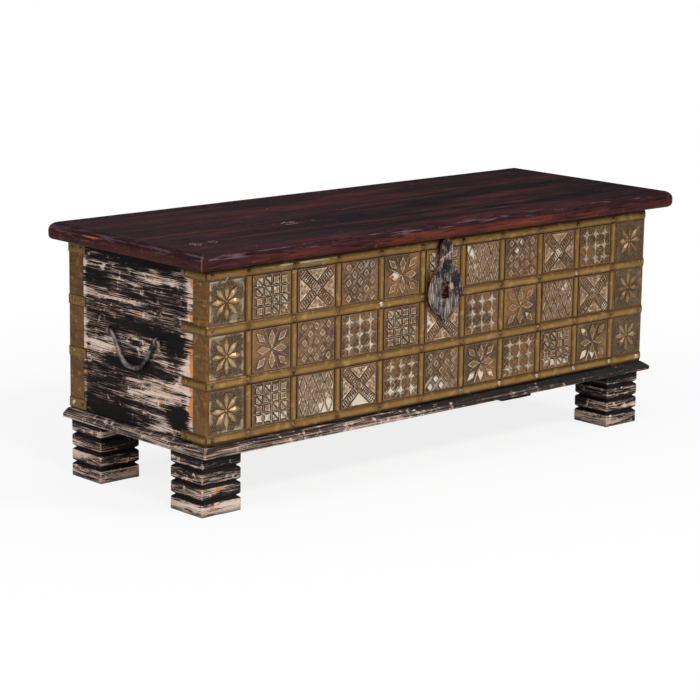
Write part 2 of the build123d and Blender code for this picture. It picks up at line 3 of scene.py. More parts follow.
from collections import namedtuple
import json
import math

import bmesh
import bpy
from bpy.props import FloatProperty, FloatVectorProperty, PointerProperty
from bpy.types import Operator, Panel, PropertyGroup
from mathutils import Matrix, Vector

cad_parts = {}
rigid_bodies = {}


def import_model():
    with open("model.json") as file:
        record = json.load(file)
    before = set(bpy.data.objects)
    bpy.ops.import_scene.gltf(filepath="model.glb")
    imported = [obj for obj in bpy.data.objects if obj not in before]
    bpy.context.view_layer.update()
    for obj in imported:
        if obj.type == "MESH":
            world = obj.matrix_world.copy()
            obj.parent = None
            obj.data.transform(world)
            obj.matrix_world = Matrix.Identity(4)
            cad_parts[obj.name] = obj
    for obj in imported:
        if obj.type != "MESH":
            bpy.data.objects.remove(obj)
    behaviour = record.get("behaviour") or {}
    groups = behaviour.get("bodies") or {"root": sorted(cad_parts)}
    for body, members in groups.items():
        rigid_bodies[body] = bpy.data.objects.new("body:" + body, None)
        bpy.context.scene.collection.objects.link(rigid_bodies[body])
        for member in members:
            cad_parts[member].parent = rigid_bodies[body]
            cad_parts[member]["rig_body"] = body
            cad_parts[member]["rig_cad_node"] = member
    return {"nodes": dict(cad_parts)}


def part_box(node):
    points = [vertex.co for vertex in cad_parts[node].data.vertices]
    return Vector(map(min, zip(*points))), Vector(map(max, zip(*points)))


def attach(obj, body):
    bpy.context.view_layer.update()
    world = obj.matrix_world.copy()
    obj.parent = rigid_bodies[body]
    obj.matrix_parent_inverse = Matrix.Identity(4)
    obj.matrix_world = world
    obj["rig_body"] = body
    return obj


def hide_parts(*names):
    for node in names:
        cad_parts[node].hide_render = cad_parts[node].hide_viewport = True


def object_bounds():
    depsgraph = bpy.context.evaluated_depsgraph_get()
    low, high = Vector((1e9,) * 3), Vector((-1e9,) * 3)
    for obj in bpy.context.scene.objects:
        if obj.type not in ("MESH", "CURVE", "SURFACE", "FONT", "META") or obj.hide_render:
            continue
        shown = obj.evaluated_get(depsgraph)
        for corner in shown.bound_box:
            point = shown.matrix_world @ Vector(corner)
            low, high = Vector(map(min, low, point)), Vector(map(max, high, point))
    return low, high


bl_info = {
    "name": "Damchiya chest",
    "version": (1, 0, 0),
    "blender": (4, 5, 0),
    "location": "View3D > Sidebar > Chest",
    "description": "Dresses the chest's construction with worn wood, carving, brass and iron",
    "category": "Add Mesh",
}

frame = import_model()

CAD_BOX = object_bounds()
MM = 0.001
QUARTER = math.radians(90)

# ------------------------------------------------------------------ places read from the frame
lid_low, lid_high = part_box("lid_board")
front_low, front_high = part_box("front_panel")
front_y = front_low.y
back_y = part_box("back_panel")[1].y
end_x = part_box("right_panel")[1].x
body_mid_y = (front_y + back_y) / 2
ROWS = ("bottom", "lower", "upper", "top")
SIDES = ("left", "right")
band_boxes = [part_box("band_" + row) for row in ROWS]
band_z = [(low.z + high.z) / 2 for low, high in band_boxes]
band_width = band_boxes[0][1].z - band_boxes[0][0].z
band_face_y = band_boxes[0][0].y
band_proud = front_y - band_face_y
band_end_y = band_boxes[0][1].y
sheet_low, sheet_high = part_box("corner_sheet_front_right")
sheet_edge_y = sheet_high.y
back_sheet_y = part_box("corner_sheet_back_right")[0].y
sheet_x = sheet_high.x
sheet_face_y = front_y - (sheet_x - end_x)
TILE_COLUMNS = 9
TILE_ROWS = 3
tile_boxes = [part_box("carved_tiles_column_%d" % (n + 1)) for n in range(TILE_COLUMNS)]
tile_x = [(low.x + high.x) / 2 for low, high in tile_boxes]
tile_z = [(band_z[n] + band_z[n + 1]) / 2 for n in range(TILE_ROWS)]
tile_width = tile_boxes[0][1].x - tile_boxes[0][0].x
tile_height = (tile_boxes[0][1].z - tile_boxes[0][0].z) - (tile_z[2] - tile_z[0])
tile_face_y = tile_boxes[0][0].y
tile_depth = tile_boxes[0][1].y - tile_face_y
tile_relief = tile_depth * 0.6
bead_pitch = tile_x[1] - tile_x[0]
bead_x = [tile_x[0] + (n - 0.5) * bead_pitch for n in range(TILE_COLUMNS + 1)]
row_pitch = band_z[1] - band_z[0]
star_x = (bead_x[-1] + end_x) / 2 + 3 * MM
board_depth = front_high.y - front_low.y

# Worn and kept places at the left end: along and up, reach in x, y and z, how much more is gone.
END_SCRAPES = ((0.022, 0.388, 0.3, 0.175, 0.028, 0.12), (0.031, 0.340, 0.3, 0.169, 0.030, 0.07),
               (0.098, 0.268, 0.3, 0.082, 0.025, 0.15), (-0.015, 0.262, 0.3, 0.070, 0.020, 0.14),
               (-0.030, 0.188, 0.3, 0.155, 0.032, 0.33), (-0.050, 0.140, 0.3, 0.049, 0.018, 0.20),
               (0.003, 0.234, 0.3, 0.168, 0.025, -0.45), (0.030, 0.430, 0.3, 0.168, 0.028, -0.45),
               (0.085, 0.129, 0.3, 0.103, 0.028, -0.40), (-0.103, 0.165, 0.3, 0.045, 0.028, -0.45),
               (0.031, 0.304, 0.3, 0.152, 0.022, -0.16), (-0.095, 0.275, 0.3, 0.040, 0.045, -0.28))
# Scribbles on the lid: where in x and y, and their reach in x and y.
LID_SCRIBBLES = ((-0.264, -0.059, 0.012, 0.012), (-0.536, -0.132, 0.010, 0.010),
                 (-0.500, -0.132, 0.007, 0.009))
# The same for the moulding, and for the feet: lower blocks, tops and three grooves.
MOULDING_SCRAPES = ((0.0, 0.1, 0.65, 0.8, 0.8, 0.27),)
FOOT_SCRAPES = ((0.0, 0.0, 9.0, 9.0, 0.034, 0.20), (0.0, 0.116, 9.0, 9.0, 0.028, -0.65),
                (0.0, 0.027, 9.0, 9.0, 0.006, -0.9), (0.0, 0.054, 9.0, 9.0, 0.006, -0.9),
                (0.0, 0.081, 9.0, 9.0, 0.006, -0.9))
# The dark hollow behind the hasp's slot.
SLOT_SHADOW = (0.0, -0.182, 0.3344)


def hexed(red, green, blue):
    """A scene-linear colour from the 0 to 255 steps of a paint chart."""
    steps = [value / 255 for value in (red, green, blue)]
    return tuple(s / 12.92 if s <= 0.04045 else ((s + 0.055) / 1.055) ** 2.4 for s in steps)


def colour(label, description, red, green, blue):
    return FloatVectorProperty(name=label, description=description, subtype="COLOR", size=3, min=0,
                               max=1, default=hexed(red, green, blue))


def length(label, description, millimetres):
    return FloatProperty(name=label, description=description, subtype="DISTANCE", unit="LENGTH",
                         default=millimetres * MM)


def watts(label, description, default):
    return FloatProperty(name=label, description=description, unit="POWER", default=default)


def tilt(label, description, degrees):
    return FloatProperty(name=label, description=description, subtype="ANGLE",
                         default=math.radians(degrees))


# ------------------------------------------------------------------ what a user may change
class ChestWood(PropertyGroup):
    stain_dark: colour("Dark stain", "The lid's darkest streaks", 15, 9, 13)
    stain: colour("Stain", "The lid's main colour", 38, 22, 26)
    stain_red: colour("Red stain", "Where the wood's own red shows through", 94, 42, 38)
    stain_edge: colour("Edge stain", "The lid's rounded edge", 50, 29, 33)
    stain_glow: colour("Glowing stain", "The edge's warmest streaks", 112, 54, 40)
    stain_worn: colour("Worn stain", "Bare wood on the lid's edge", 168, 98, 66)
    # Partly a real grey-purple haze on the old polish, partly painted sheen on the lid's slope and
    # a painted highlight along its arris.
    stain_bloom_and_sheen: colour("Bloom", "Grey-purple bloom on the old polish", 132, 108, 118)
    paint: colour("Paint", "The black top coat", 13, 12, 15)
    undercoat: colour("Undercoat", "Cream paint under the black", 228, 208, 192)
    chalk: colour("Chalk", "The pinkish part of the undercoat", 206, 174, 158)
    grime: colour("Grime", "Grey-brown dirt rubbed into the pale paint", 96, 78, 66)
    bare: colour("Bare wood", "Wood where both coats are gone", 208, 130, 58)
    board: colour("Board", "The unpainted boards inside", 150, 104, 70)
    edge_wobble: length("Edge wobble", "How far worn edges stray from true", 0.9)
    slice_length: length("Slice", "Distance between the cuts that let an edge wander", 14)
    lid_round: length("Lid round", "Rounding of the lid's top edge", 14.5)
    lid_under: length("Lid under", "Rounding below the lid's edge", 10)
    groove_round: length("Groove round", "Rounding of the feet's bands", 1.6)


class ChestBrass(PropertyGroup):
    brass: colour("Brass", "The bands and sheets", 132, 97, 50)
    # The same colour is laid as painted shade on the strips' flanks, in the hollows and behind the
    # hasp's slot.
    brass_dark: colour("Tarnish", "Brass gone brown in the hollows", 60, 39, 22)
    # The same colour is laid as a painted highlight along the strips' crests.
    brass_bright: colour("Rubbed brass", "Brass where hands rub it", 214, 174, 106)
    nail: colour("Nail", "The nails' browned heads", 124, 78, 60)
    paint_spot: colour("Paint spot", "Cream paint left on the brass", 222, 206, 186)
    nail_radius: length("Nail radius", "Radius of a nail's domed head", 4.7)
    nail_dome: length("Nail dome", "Height of a nail's domed head", 1.8)
    petal_rise: length("Petal rise", "Height of the embossed petals", 3.4)
    star_square: length("Star square", "Side of a star's stippled square", 74)
    star_ground: colour("Stipple", "The dark stippled ground round the stars", 84, 62, 40)
    petal: colour("Petals", "The stars' rubbed petals", 190, 158, 112)
    # Pale patina, laid mostly as a painted reflection and highlight on the left-hand star panels.
    star_patina_and_sheen: colour("Silvered brass", "Pale grey patina on the stars' ground", 186, 172, 150)
    wobble: length("Hammering", "How uneven the brass is", 0.35)


class ChestCarving(PropertyGroup):
    ground: colour("Ground", "The carved-away ground", 60, 38, 18)
    gold: colour("Gold ground", "Golden brown left in the ground", 128, 88, 32)
    bronze: colour("Bronzing", "The bronze paint on the carving", 122, 84, 40)
    wood: colour("Carved wood", "Wood colour on the carving's flats", 136, 94, 64)
    rubbed: colour("Rubbed", "Pale rubbed tops", 228, 212, 190)
    silver: colour("Silvered lines", "The rubbed crests of the carved lines", 218, 200, 174)
    rim: length("Rim", "Width of the raised line round each chip", 1.1)
    rim_drop: length("Rim drop", "How far a chip's middle lies below its rim", 0.8)
    ridge_width: length("Ridge width", "Width of a carved line", 1.5)
    border: length("Border", "Width of the line round each tile", 1.8)


class ChestIron(PropertyGroup):
    iron: colour("Iron", "Blue-black forge scale", 28, 29, 39)
    iron_streak: colour("Iron streak", "Pale old paint in the iron's grain", 196, 176, 158)
    rust: colour("Rust", "Orange-brown worn rims", 176, 108, 74)
    steel: colour("Bright iron", "Iron rubbed grey", 142, 136, 134)
    bail_end: length("Bail end", "Radius of a bail at its eyes", 2.8)
    bail_middle: length("Bail middle", "Radius of a bail in the hand", 3.4)
    plate_bevel: length("Plate bevel", "Rounding of the hasp's rim", 0.7)


class ChestStudio(PropertyGroup):
    floor: colour("Floor", "The pale floor", 242, 242, 242)
    key_power: watts("Key power", "Right-hand softbox", 80)
    left_power: watts("Left power", "Small front-left softbox", 60)
    side_power: watts("Side power", "Left-hand softbox", 68)
    top_power: watts("Top power", "Overhead softbox", 24)
    ambient: FloatProperty(name="Ambient", description="Light from all round", default=0.17)
    ring_glow: FloatProperty(name="Ring glow", description="Brightness of the mirrored wall",
                             default=0.05)
    azimuth: tilt("Azimuth", "Camera's turn round the chest", -42.42)
    elevation: tilt("Elevation", "Camera's height angle", 12.06)
    roll: tilt("Roll", "Camera's tilt", 0.79)
    lens: FloatProperty(name="Lens", description="Focal length in millimetres", default=126.8)


SETTINGS = {"chest_wood": ChestWood, "chest_brass": ChestBrass, "chest_carving": ChestCarving,
            "chest_iron": ChestIron, "chest_studio": ChestStudio}


# ------------------------------------------------------------------ modelling by operators
def deselect():
    if bpy.context.object and bpy.context.object.mode != "OBJECT":
        bpy.ops.object.mode_set(mode="OBJECT")
    bpy.ops.object.select_all(action="DESELECT")


def only(obj):
    """Make obj the one selected and active object."""
    deselect()
    obj.select_set(True)
    bpy.context.view_layer.objects.active = obj


def take_all():
    bpy.ops.mesh.select_all(action="SELECT")


def edit(obj):
    """Open a mesh with all of it selected."""
    only(obj)
    bpy.ops.object.mode_set(mode="EDIT")
    take_all()


def leave():
    bpy.ops.object.mode_set(mode="OBJECT")


def choose(obj, kind, test):
    """In edit mode, select the vertices, edges or faces that pass a test."""
    bpy.ops.mesh.select_mode(type=kind)
    bpy.ops.mesh.select_all(action="DESELECT")
    mesh = bmesh.from_edit_mesh(obj.data)
    for item in {"VERT": mesh.verts, "EDGE": mesh.edges, "FACE": mesh.faces}[kind]:
        if test(item):
            item.select_set(True)
    mesh.select_flush_mode()
    bmesh.update_edit_mesh(obj.data)


def choose_front(obj):
    """In edit mode, select the faces that look to the front."""
    choose(obj, "FACE", lambda face: face.normal.y < -0.9)


def block(low, high):
    """A box between two corners."""
    deselect()
    bpy.ops.mesh.primitive_cube_add(size=1, location=(Vector(low) + Vector(high)) / 2)
    obj = bpy.context.object
    obj.scale = Vector(high) - Vector(low)
    bpy.ops.object.transform_apply(location=True, rotation=True, scale=True)
    return obj


def polygon(points):
    """A flat many-sided face through points, left selected in edit mode."""
    deselect()
    bpy.ops.mesh.primitive_circle_add(vertices=len(points), radius=1, fill_type="NGON")
    obj = bpy.context.object
    for vertex, place in zip(obj.data.vertices, points):
        vertex.co = place
    edit(obj)
    return obj


def extrude(move):
    bpy.ops.mesh.extrude_region_move(TRANSFORM_OT_translate={"value": move})


def inset(width, rise=0.0):
    """Inset the selected faces by width and push the inner ones out by rise."""
    bpy.ops.mesh.inset(thickness=width, depth=rise)


def close_up(obj):
    """Merge doubles and turn every face outwards."""
    edit(obj)
    bpy.ops.mesh.remove_doubles(threshold=0.01 * MM)
    bpy.ops.mesh.normals_make_consistent(inside=False)
    leave()
    return obj


def modify(obj, kind, **settings):
    """Add a modifier and apply it."""
    only(obj)
    modifier = obj.modifiers.new(kind.lower(), kind)
    for key, value in settings.items():
        setattr(modifier, key, value)
    bpy.ops.object.modifier_apply(modifier=modifier.name)


def clouds(name, size):
    """A seeded procedural texture that the displace modifier reads."""
    texture = bpy.data.textures.get(name) or bpy.data.textures.new(name, "CLOUDS")
    texture.noise_scale = size
    texture.noise_depth = 2
    return texture


def roughen(obj, size, strength):
    """Push the surface in and out a little, by clouds of one size."""
    modify(obj, "DISPLACE", texture=clouds("clouds_%d" % round(size / MM), size),
           strength=strength, mid_level=0.5, texture_coords="LOCAL")


def slices(obj, axis, step):
    """Cut a mesh across one axis every step."""
    reach = [vertex.co[axis] for vertex in obj.data.vertices]
    low, high = min(reach), max(reach)
    count = max(1, int((high - low) / step))
    normal = [0, 0, 0]
    normal[axis] = 1
    edit(obj)
    for n in range(1, count):
        place = [0, 0, 0]
        place[axis] = low + (high - low) * n / count
        take_all()
        bpy.ops.mesh.bisect(plane_co=place, plane_no=normal)
    leave()


def copy_of(node):
    """A copy of a construction piece, merged and with its flat faces whole."""
    source = frame["nodes"][node]
    obj = source.copy()
    obj.data = source.data.copy()
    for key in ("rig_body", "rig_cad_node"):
        if key in obj:
            del obj[key]
    obj.parent = None
    obj.hide_render = False
    bpy.context.scene.collection.objects.link(obj)
    obj.data.materials.clear()
    edit(obj)
    bpy.ops.mesh.remove_doubles(threshold=0.005 * MM)
    bpy.ops.mesh.dissolve_limited(angle_limit=math.radians(1))
    bpy.ops.mesh.normals_make_consistent(inside=False)
    leave()
    return obj


def duplicate(obj, matrix):
    """A copy with a mesh of its own, moved in its mesh."""
    twin = obj.copy()
    twin.data = obj.data.copy()
    twin.data.transform(matrix)
    bpy.context.scene.collection.objects.link(twin)
    return twin


def joined(parts):
    """One object of several."""
    deselect()
    for part in parts:
        part.select_set(True)
    bpy.context.view_layer.objects.active = parts[0]
    bpy.ops.object.join()
    return bpy.context.object


def discard(*objects):
    for obj in objects:
        bpy.data.objects.remove(obj)


def keep_inside(obj):
    """Bring back what unevenness pushed out of the construction's box."""
    for vertex in obj.data.vertices:
        for axis in range(3):
            vertex.co[axis] = min(max(vertex.co[axis], CAD_BOX[0][axis]), CAD_BOX[1][axis])


def settle(obj, name, material, body, nodes, smooth=40):
    """Name a finished piece, give it its finish and let it ride its body."""
    only(obj)
    bpy.ops.object.transform_apply(location=True, rotation=True, scale=True)
    keep_inside(obj)
    bpy.ops.object.shade_smooth_by_angle(angle=math.radians(smooth))
    obj.name = name
    obj.data.name = name
    obj.data.materials.clear()
    obj.data.materials.append(bpy.data.materials[material])
    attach(obj, body)
    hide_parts(*nodes)


# ------------------------------------------------------------------ shader building
class Tree:
    """Short calls to add and join shader nodes."""

    def __init__(self, tree):
        self.tree = tree

    def add(self, kind, settings=None, **inputs):
        made = self.tree.nodes.new("ShaderNode" + kind)
        for key, value in (settings or {}).items():
            setattr(made, key, value)
        for key, value in inputs.items():
            name = int(key[1:]) if key[0] == "_" else key.replace("_", " ")
            self.feed(made.inputs[name], value)
        return made

    def feed(self, socket, value):
        if isinstance(value, bpy.types.NodeSocket):
            self.tree.links.new(value, socket)
        else:
            socket.default_value = value

    def math(self, operation, a, b=0.0, clamp=False):
        made = self.add("Math", {"operation": operation, "use_clamp": clamp}, _0=a, _1=b)
        return made.outputs[0]

    def times(self, a, b):
        return self.math("MULTIPLY", a, b)

    def plus(self, a, b):
        return self.math("ADD", a, b)

    def minus(self, a, b, clamp=False):
        return self.math("SUBTRACT", a, b, clamp)

    def absolute(self, a):
        return self.math("ABSOLUTE", a)

    def larger(self, a, b):
        return self.math("MAXIMUM", a, b)

    def ramp(self, value, low, high, to_low=0.0, to_high=1.0):
        """A smooth step of value from low to high."""
        made = self.add("MapRange", {"interpolation_type": "SMOOTHSTEP"}, Value=value)
        for key, number in zip(("From Min", "From Max", "To Min", "To Max"),
                               (low, high, to_low, to_high)):
            self.feed(made.inputs[key], number)
        return made.outputs["Result"]

    def mix(self, factor, a, b):
        """Colour a, going to colour b."""
        made = self.add("Mix", {"data_type": "RGBA"})
        self.feed(made.inputs["Factor"], factor)
        for socket, value in ((made.inputs[6], a), (made.inputs[7], b)):
            self.feed(socket, value if isinstance(value, bpy.types.NodeSocket) else (*value, 1.0))
        return made.outputs[2]

    def vector(self, operation, *inputs, result=0):
        made = self.add("VectorMath", {"operation": operation})
        for socket, value in zip(made.inputs, inputs):
            self.feed(socket, value)
        return made.outputs[result]

    def away_from(self, place, centre, reach):
        """Distance of a place from a centre, counted in reaches."""
        away = self.vector("DIVIDE", self.vector("SUBTRACT", place, centre), reach)
        return self.vector("LENGTH", away, result="Value")

    def group(self, name, **inputs):
        made = self.tree.nodes.new("ShaderNodeGroup")
        made.node_tree = bpy.data.node_groups[name]
        for key, value in inputs.items():
            self.feed(made.inputs[key.replace("_", " ")], value)
        return made


def new_group(name, inputs, outputs):
    """A shader node group with named sockets; returns its Tree, its inputs and its output node."""
    tree = bpy.data.node_groups.new(name, "ShaderNodeTree")
    for label, kind, default in inputs:
        socket = tree.interface.new_socket(name=label, in_out="INPUT",
                                           socket_type="NodeSocket" + kind)
        if default is not None:
            socket.default_value = default
    for label, kind in outputs:
        tree.interface.new_socket(name=label, in_out="OUTPUT", socket_type="NodeSocket" + kind)
    entry = tree.nodes.new("NodeGroupInput")
    result = tree.nodes.new("NodeGroupOutput")
    return Tree(tree), entry.outputs, result.inputs


def build_streaks():
    """Noise drawn out along one direction: grain, brush marks and sanding marks."""
    t, given, result = new_group("streaks",
                                 [("Vector", "Vector", None), ("Stretch", "Vector", (10, 10, 100)),
                                  ("Detail", "Float", 4.0), ("Seed", "Float", 0.0),
                                  ("Low", "Float", 0.45), ("High", "Float", 0.6)],
                                 [("Mask", "Float"), ("Noise", "Float")])
    wander = t.add("TexNoise", Vector=given["Vector"], Scale=9.0, Detail=2.0).outputs["Color"]
    wander = t.vector("MULTIPLY_ADD", wander, (0.004, 0.004, 0.004), given["Vector"])
    scaled = t.vector("MULTIPLY", wander, given["Stretch"])
    noise = t.add("TexNoise", {"noise_dimensions": "4D"}, Vector=scaled, W=given["Seed"],
                  Scale=1.0, Detail=given["Detail"], Roughness=0.6).outputs["Fac"]
    t.feed(result["Mask"], t.ramp(noise, given["Low"], given["High"]))
    t.feed(result["Noise"], noise)


def build_edge_wear():
    """Where a surface turns a corner: the difference between its own and its rounded normal."""
    t, given, result = new_group("edge_wear",
                                 [("Radius", "Float", 0.003), ("Vector", "Vector", None),
                                  ("Roughen", "Float", 0.5), ("Scale", "Float", 60.0),
                                  ("Low", "Float", 0.02), ("High", "Float", 0.25)],
                                 [("Mask", "Float")])
    rounded = t.add("Bevel", {"samples": 4}, Radius=given["Radius"]).outputs[0]
    own = t.add("NewGeometry").outputs["Normal"]
    turned = t.minus(1.0, t.vector("DOT_PRODUCT", rounded, own, result="Value"))
    noise = t.add("TexNoise", Vector=given["Vector"], Scale=given["Scale"], Detail=5.0,
                  Roughness=0.65).outputs["Fac"]
    rough = t.times(t.minus(noise, 0.5), given["Roughen"])
    t.feed(result["Mask"], t.ramp(t.plus(turned, rough), given["Low"], given["High"]))


def build_crevices():
    """Painted shade where the surface is closed in, as ambient occlusion finds it."""
    t, given, result = new_group("crevices", [("Distance", "Float", 0.004), ("Low", "Float", 0.35),
                                              ("High", "Float", 0.9)], [("Mask", "Float")])
    closed = t.add("AmbientOcclusion", {"samples": 4}, Distance=given["Distance"]).outputs["AO"]
    t.feed(result["Mask"], t.ramp(closed, given["Low"], given["High"], 1.0, 0.0))


def build_flanks():
    """Where a surface turns away from both the front and the ends, as a strip's flanks do."""
    t, given, result = new_group("flanks", [("Low", "Float", 0.97), ("High", "Float", 0.7)],
                                 [("Mask", "Float")])
    normal = t.add("SeparateXYZ", Vector=t.add("NewGeometry").outputs["Normal"]).outputs
    facing = t.larger(t.absolute(normal["X"]), t.absolute(normal["Y"]))
    t.feed(result["Mask"], t.ramp(facing, given["Low"], given["High"]))


def build_spot():
    """A soft round place: full near its centre, gone at its radius."""
    t, given, result = new_group("spot",
                                 [("Vector", "Vector", None), ("Centre", "Vector", (0, 0, 0)),
                                  ("Radius", "Vector", (1, 1, 1))], [("Mask", "Float")])
    away = t.away_from(given["Vector"], given["Centre"], given["Radius"])
    t.feed(result["Mask"], t.ramp(away, 1.0, 0.3))


def build_groups():
    build_streaks()
    build_spot()
    build_flanks()
    build_edge_wear()
    build_crevices()


Streaks = namedtuple("Streaks", "mask noise")


class Finish(Tree):
    """A new material: one Principled shader, fed from the place on the object."""

    def __init__(self, name):
        self.material = bpy.data.materials.new(name)
        self.material.use_nodes = True
        super().__init__(self.material.node_tree)
        self.shader = self.tree.nodes["Principled BSDF"]
        self.place = self.add("TexCoord").outputs["Object"]

    def axes(self):
        return self.add("SeparateXYZ", Vector=self.place).outputs

    def noise(self, scale, detail, roughness=0.5):
        made = self.add("TexNoise", Vector=self.place, Scale=scale, Detail=detail,
                        Roughness=roughness)
        return made.outputs["Fac"]

    def streaks(self, stretch, detail, seed, low, high):
        made = self.group("streaks", Vector=self.place, Stretch=stretch, Detail=detail, Seed=seed,
                          Low=low, High=high)
        return Streaks(made.outputs["Mask"], made.outputs["Noise"])

    def edge_wear(self, radius, roughen, scale, low, high):
        made = self.group("edge_wear", Radius=radius, Vector=self.place, Roughen=roughen,
                          Scale=scale, Low=low, High=high)
        return made.outputs["Mask"]

    def spot(self, centre, radius):
        return self.group("spot", Vector=self.place, Centre=centre, Radius=radius).outputs["Mask"]

    def flanks(self, low, high):
        return self.group("flanks", Low=low, High=high).outputs["Mask"]

    def crevices(self, distance, low, high):
        return self.group("crevices", Distance=distance, Low=low, High=high).outputs["Mask"]

    def shade(self, colour, roughness, height, strength, distance, **others):
        """Feed the shader its colour, roughness and bump, and others by their sockets' names."""
        bump = self.add("Bump", Height=height, Strength=strength, Distance=distance).outputs[0]
        feeds = {"Base Color": colour, "Roughness": roughness, "Normal": bump, **others}
        for name, value in feeds.items():
            self.feed(self.shader.inputs[name.replace("_", " ")], value)


# ------------------------------------------------------------------ finishes
def lid_stain():
    """Dark stained wood: lengthwise streaks, redder edges, orange where the arris is rubbed."""
    s = bpy.context.scene.chest_wood
    t = Finish("lid_stain")
    broad = t.streaks((1.7, 11, 11), 3.0, 1.0, 0.42, 0.60)
    board = t.streaks((2.4, 34, 34), 4.0, 1.7, 0.46, 0.60)
    fine = t.streaks((9, 170, 170), 5.0, 2.0, 0.46, 0.62)
    hair = t.streaks((26, 620, 620), 3.0, 3.0, 0.5, 0.62)
    base = t.mix(broad.mask, s.stain_dark, s.stain)
    red = t.times(board.mask, t.plus(t.times(fine.mask, 0.6), 0.25))
    base = t.mix(red, base, s.stain_red)
    axes = t.axes()
    height = axes["Z"]
    edge = t.ramp(height, lid_high.z - 0.8 * MM, lid_high.z - 7 * MM)
    upright = t.ramp(height, lid_high.z - 12 * MM, lid_high.z - 16 * MM)
    ragged = t.times(edge, t.ramp(board.noise, 0.36, 0.6, 0.35, 0.95))
    base = t.mix(ragged, base, s.stain_edge)
    glow = t.ramp(t.noise(5.0, 3.0), 0.34, 0.6, 0.25, 1.0)
    warm = t.times(upright, t.ramp(fine.noise, 0.35, 0.65, 0.35, 0.9))
    base = t.mix(t.times(warm, glow), base, s.stain_glow)
    # Painted light and shade: the top is lightened with the edge stain toward the left and
    # darkened toward the back and right.
    base = t.mix(t.ramp(axes["X"], 0.1, -0.6, 0.0, 0.5), base, s.stain_edge)
    shade = t.ramp(t.plus(axes["X"], axes["Y"]), 0.0, 0.7, 0.0, 0.6)
    base = t.mix(t.times(shade, t.minus(1.0, edge)), base, s.stain_dark)
    base = t.mix(t.times(hair.mask, 0.75), base, s.stain_dark)
    # Painted sheen, partly a real grey-purple haze on the old polish: pale streaks on the slope,
    # drawn along the front and along the ends. The end streaks also lay out the orange worn patch
    # below.
    bloom_and_sheen = t.streaks((14, 200, 200), 6.0, 12.0, 0.54, 0.64).mask
    end_streaks = t.streaks((200, 14, 200), 6.0, 14.0, 0.50, 0.62).mask
    at_end = t.ramp(t.absolute(axes["X"]), lid_high.x - 17 * MM, lid_high.x - 14 * MM)
    slope = t.times(edge, t.minus(1.0, upright))
    bloom_and_sheen = t.plus(t.times(bloom_and_sheen, t.minus(1.0, at_end)), t.times(end_streaks, t.times(at_end, 0.7)))
    base = t.mix(t.times(bloom_and_sheen, t.ramp(slope, 0.0, 1.0, 0.08, 0.46)), base, s.stain_bloom_and_sheen)
    patch = t.spot((-lid_high.x, 0.105, lid_high.z - 14 * MM), (0.03, 0.075, 0.009))
    orange = t.times(t.times(end_streaks, at_end), patch)
    base = t.mix(t.times(orange, 0.8), base, s.stain_worn)
    wear = t.edge_wear(0.005, 0.5, 42.0, 0.05, 0.16)
    worn = t.times(wear, t.times(edge, 0.7))
    base = t.mix(worn, base, s.stain_worn)
    # Painted highlight: pale grey-purple laid along part of the rubbed arris.
    base = t.mix(t.times(worn, t.ramp(fine.noise, 0.45, 0.6, 0.0, 0.5)), base, s.stain_bloom_and_sheen)
    on_top = t.math("GREATER_THAN", height, lid_high.z - 1 * MM)
    warp = t.noise(95.0, 2.0)
    for x, y, reach_x, reach_y in LID_SCRIBBLES:
        away = t.away_from(t.place, (x, y, lid_high.z), (reach_x, reach_y, 1.0))
        loop = t.plus(away, t.times(t.minus(warp, 0.5), 2.4))
        line = t.ramp(t.absolute(t.minus(loop, 1.0)), 0.12, 0.05)
        line = t.times(line, t.times(on_top, t.ramp(away, 2.2, 1.4)))
        base = t.mix(t.times(line, t.ramp(fine.noise, 0.4, 0.5, 0.1, 0.8)), base, s.chalk)
    scratches = t.streaks((60, 140, 900), 2.0, 9.0, 0.72, 0.74)
    base = t.mix(t.times(scratches.mask, 0.5), base, s.chalk)
    t.shade(base, t.ramp(fine.noise, 0.3, 0.7, 0.34, 0.52), t.plus(fine.noise, hair.noise), 0.4,
            0.6 * MM, Specular_IOR_Level=0.03)


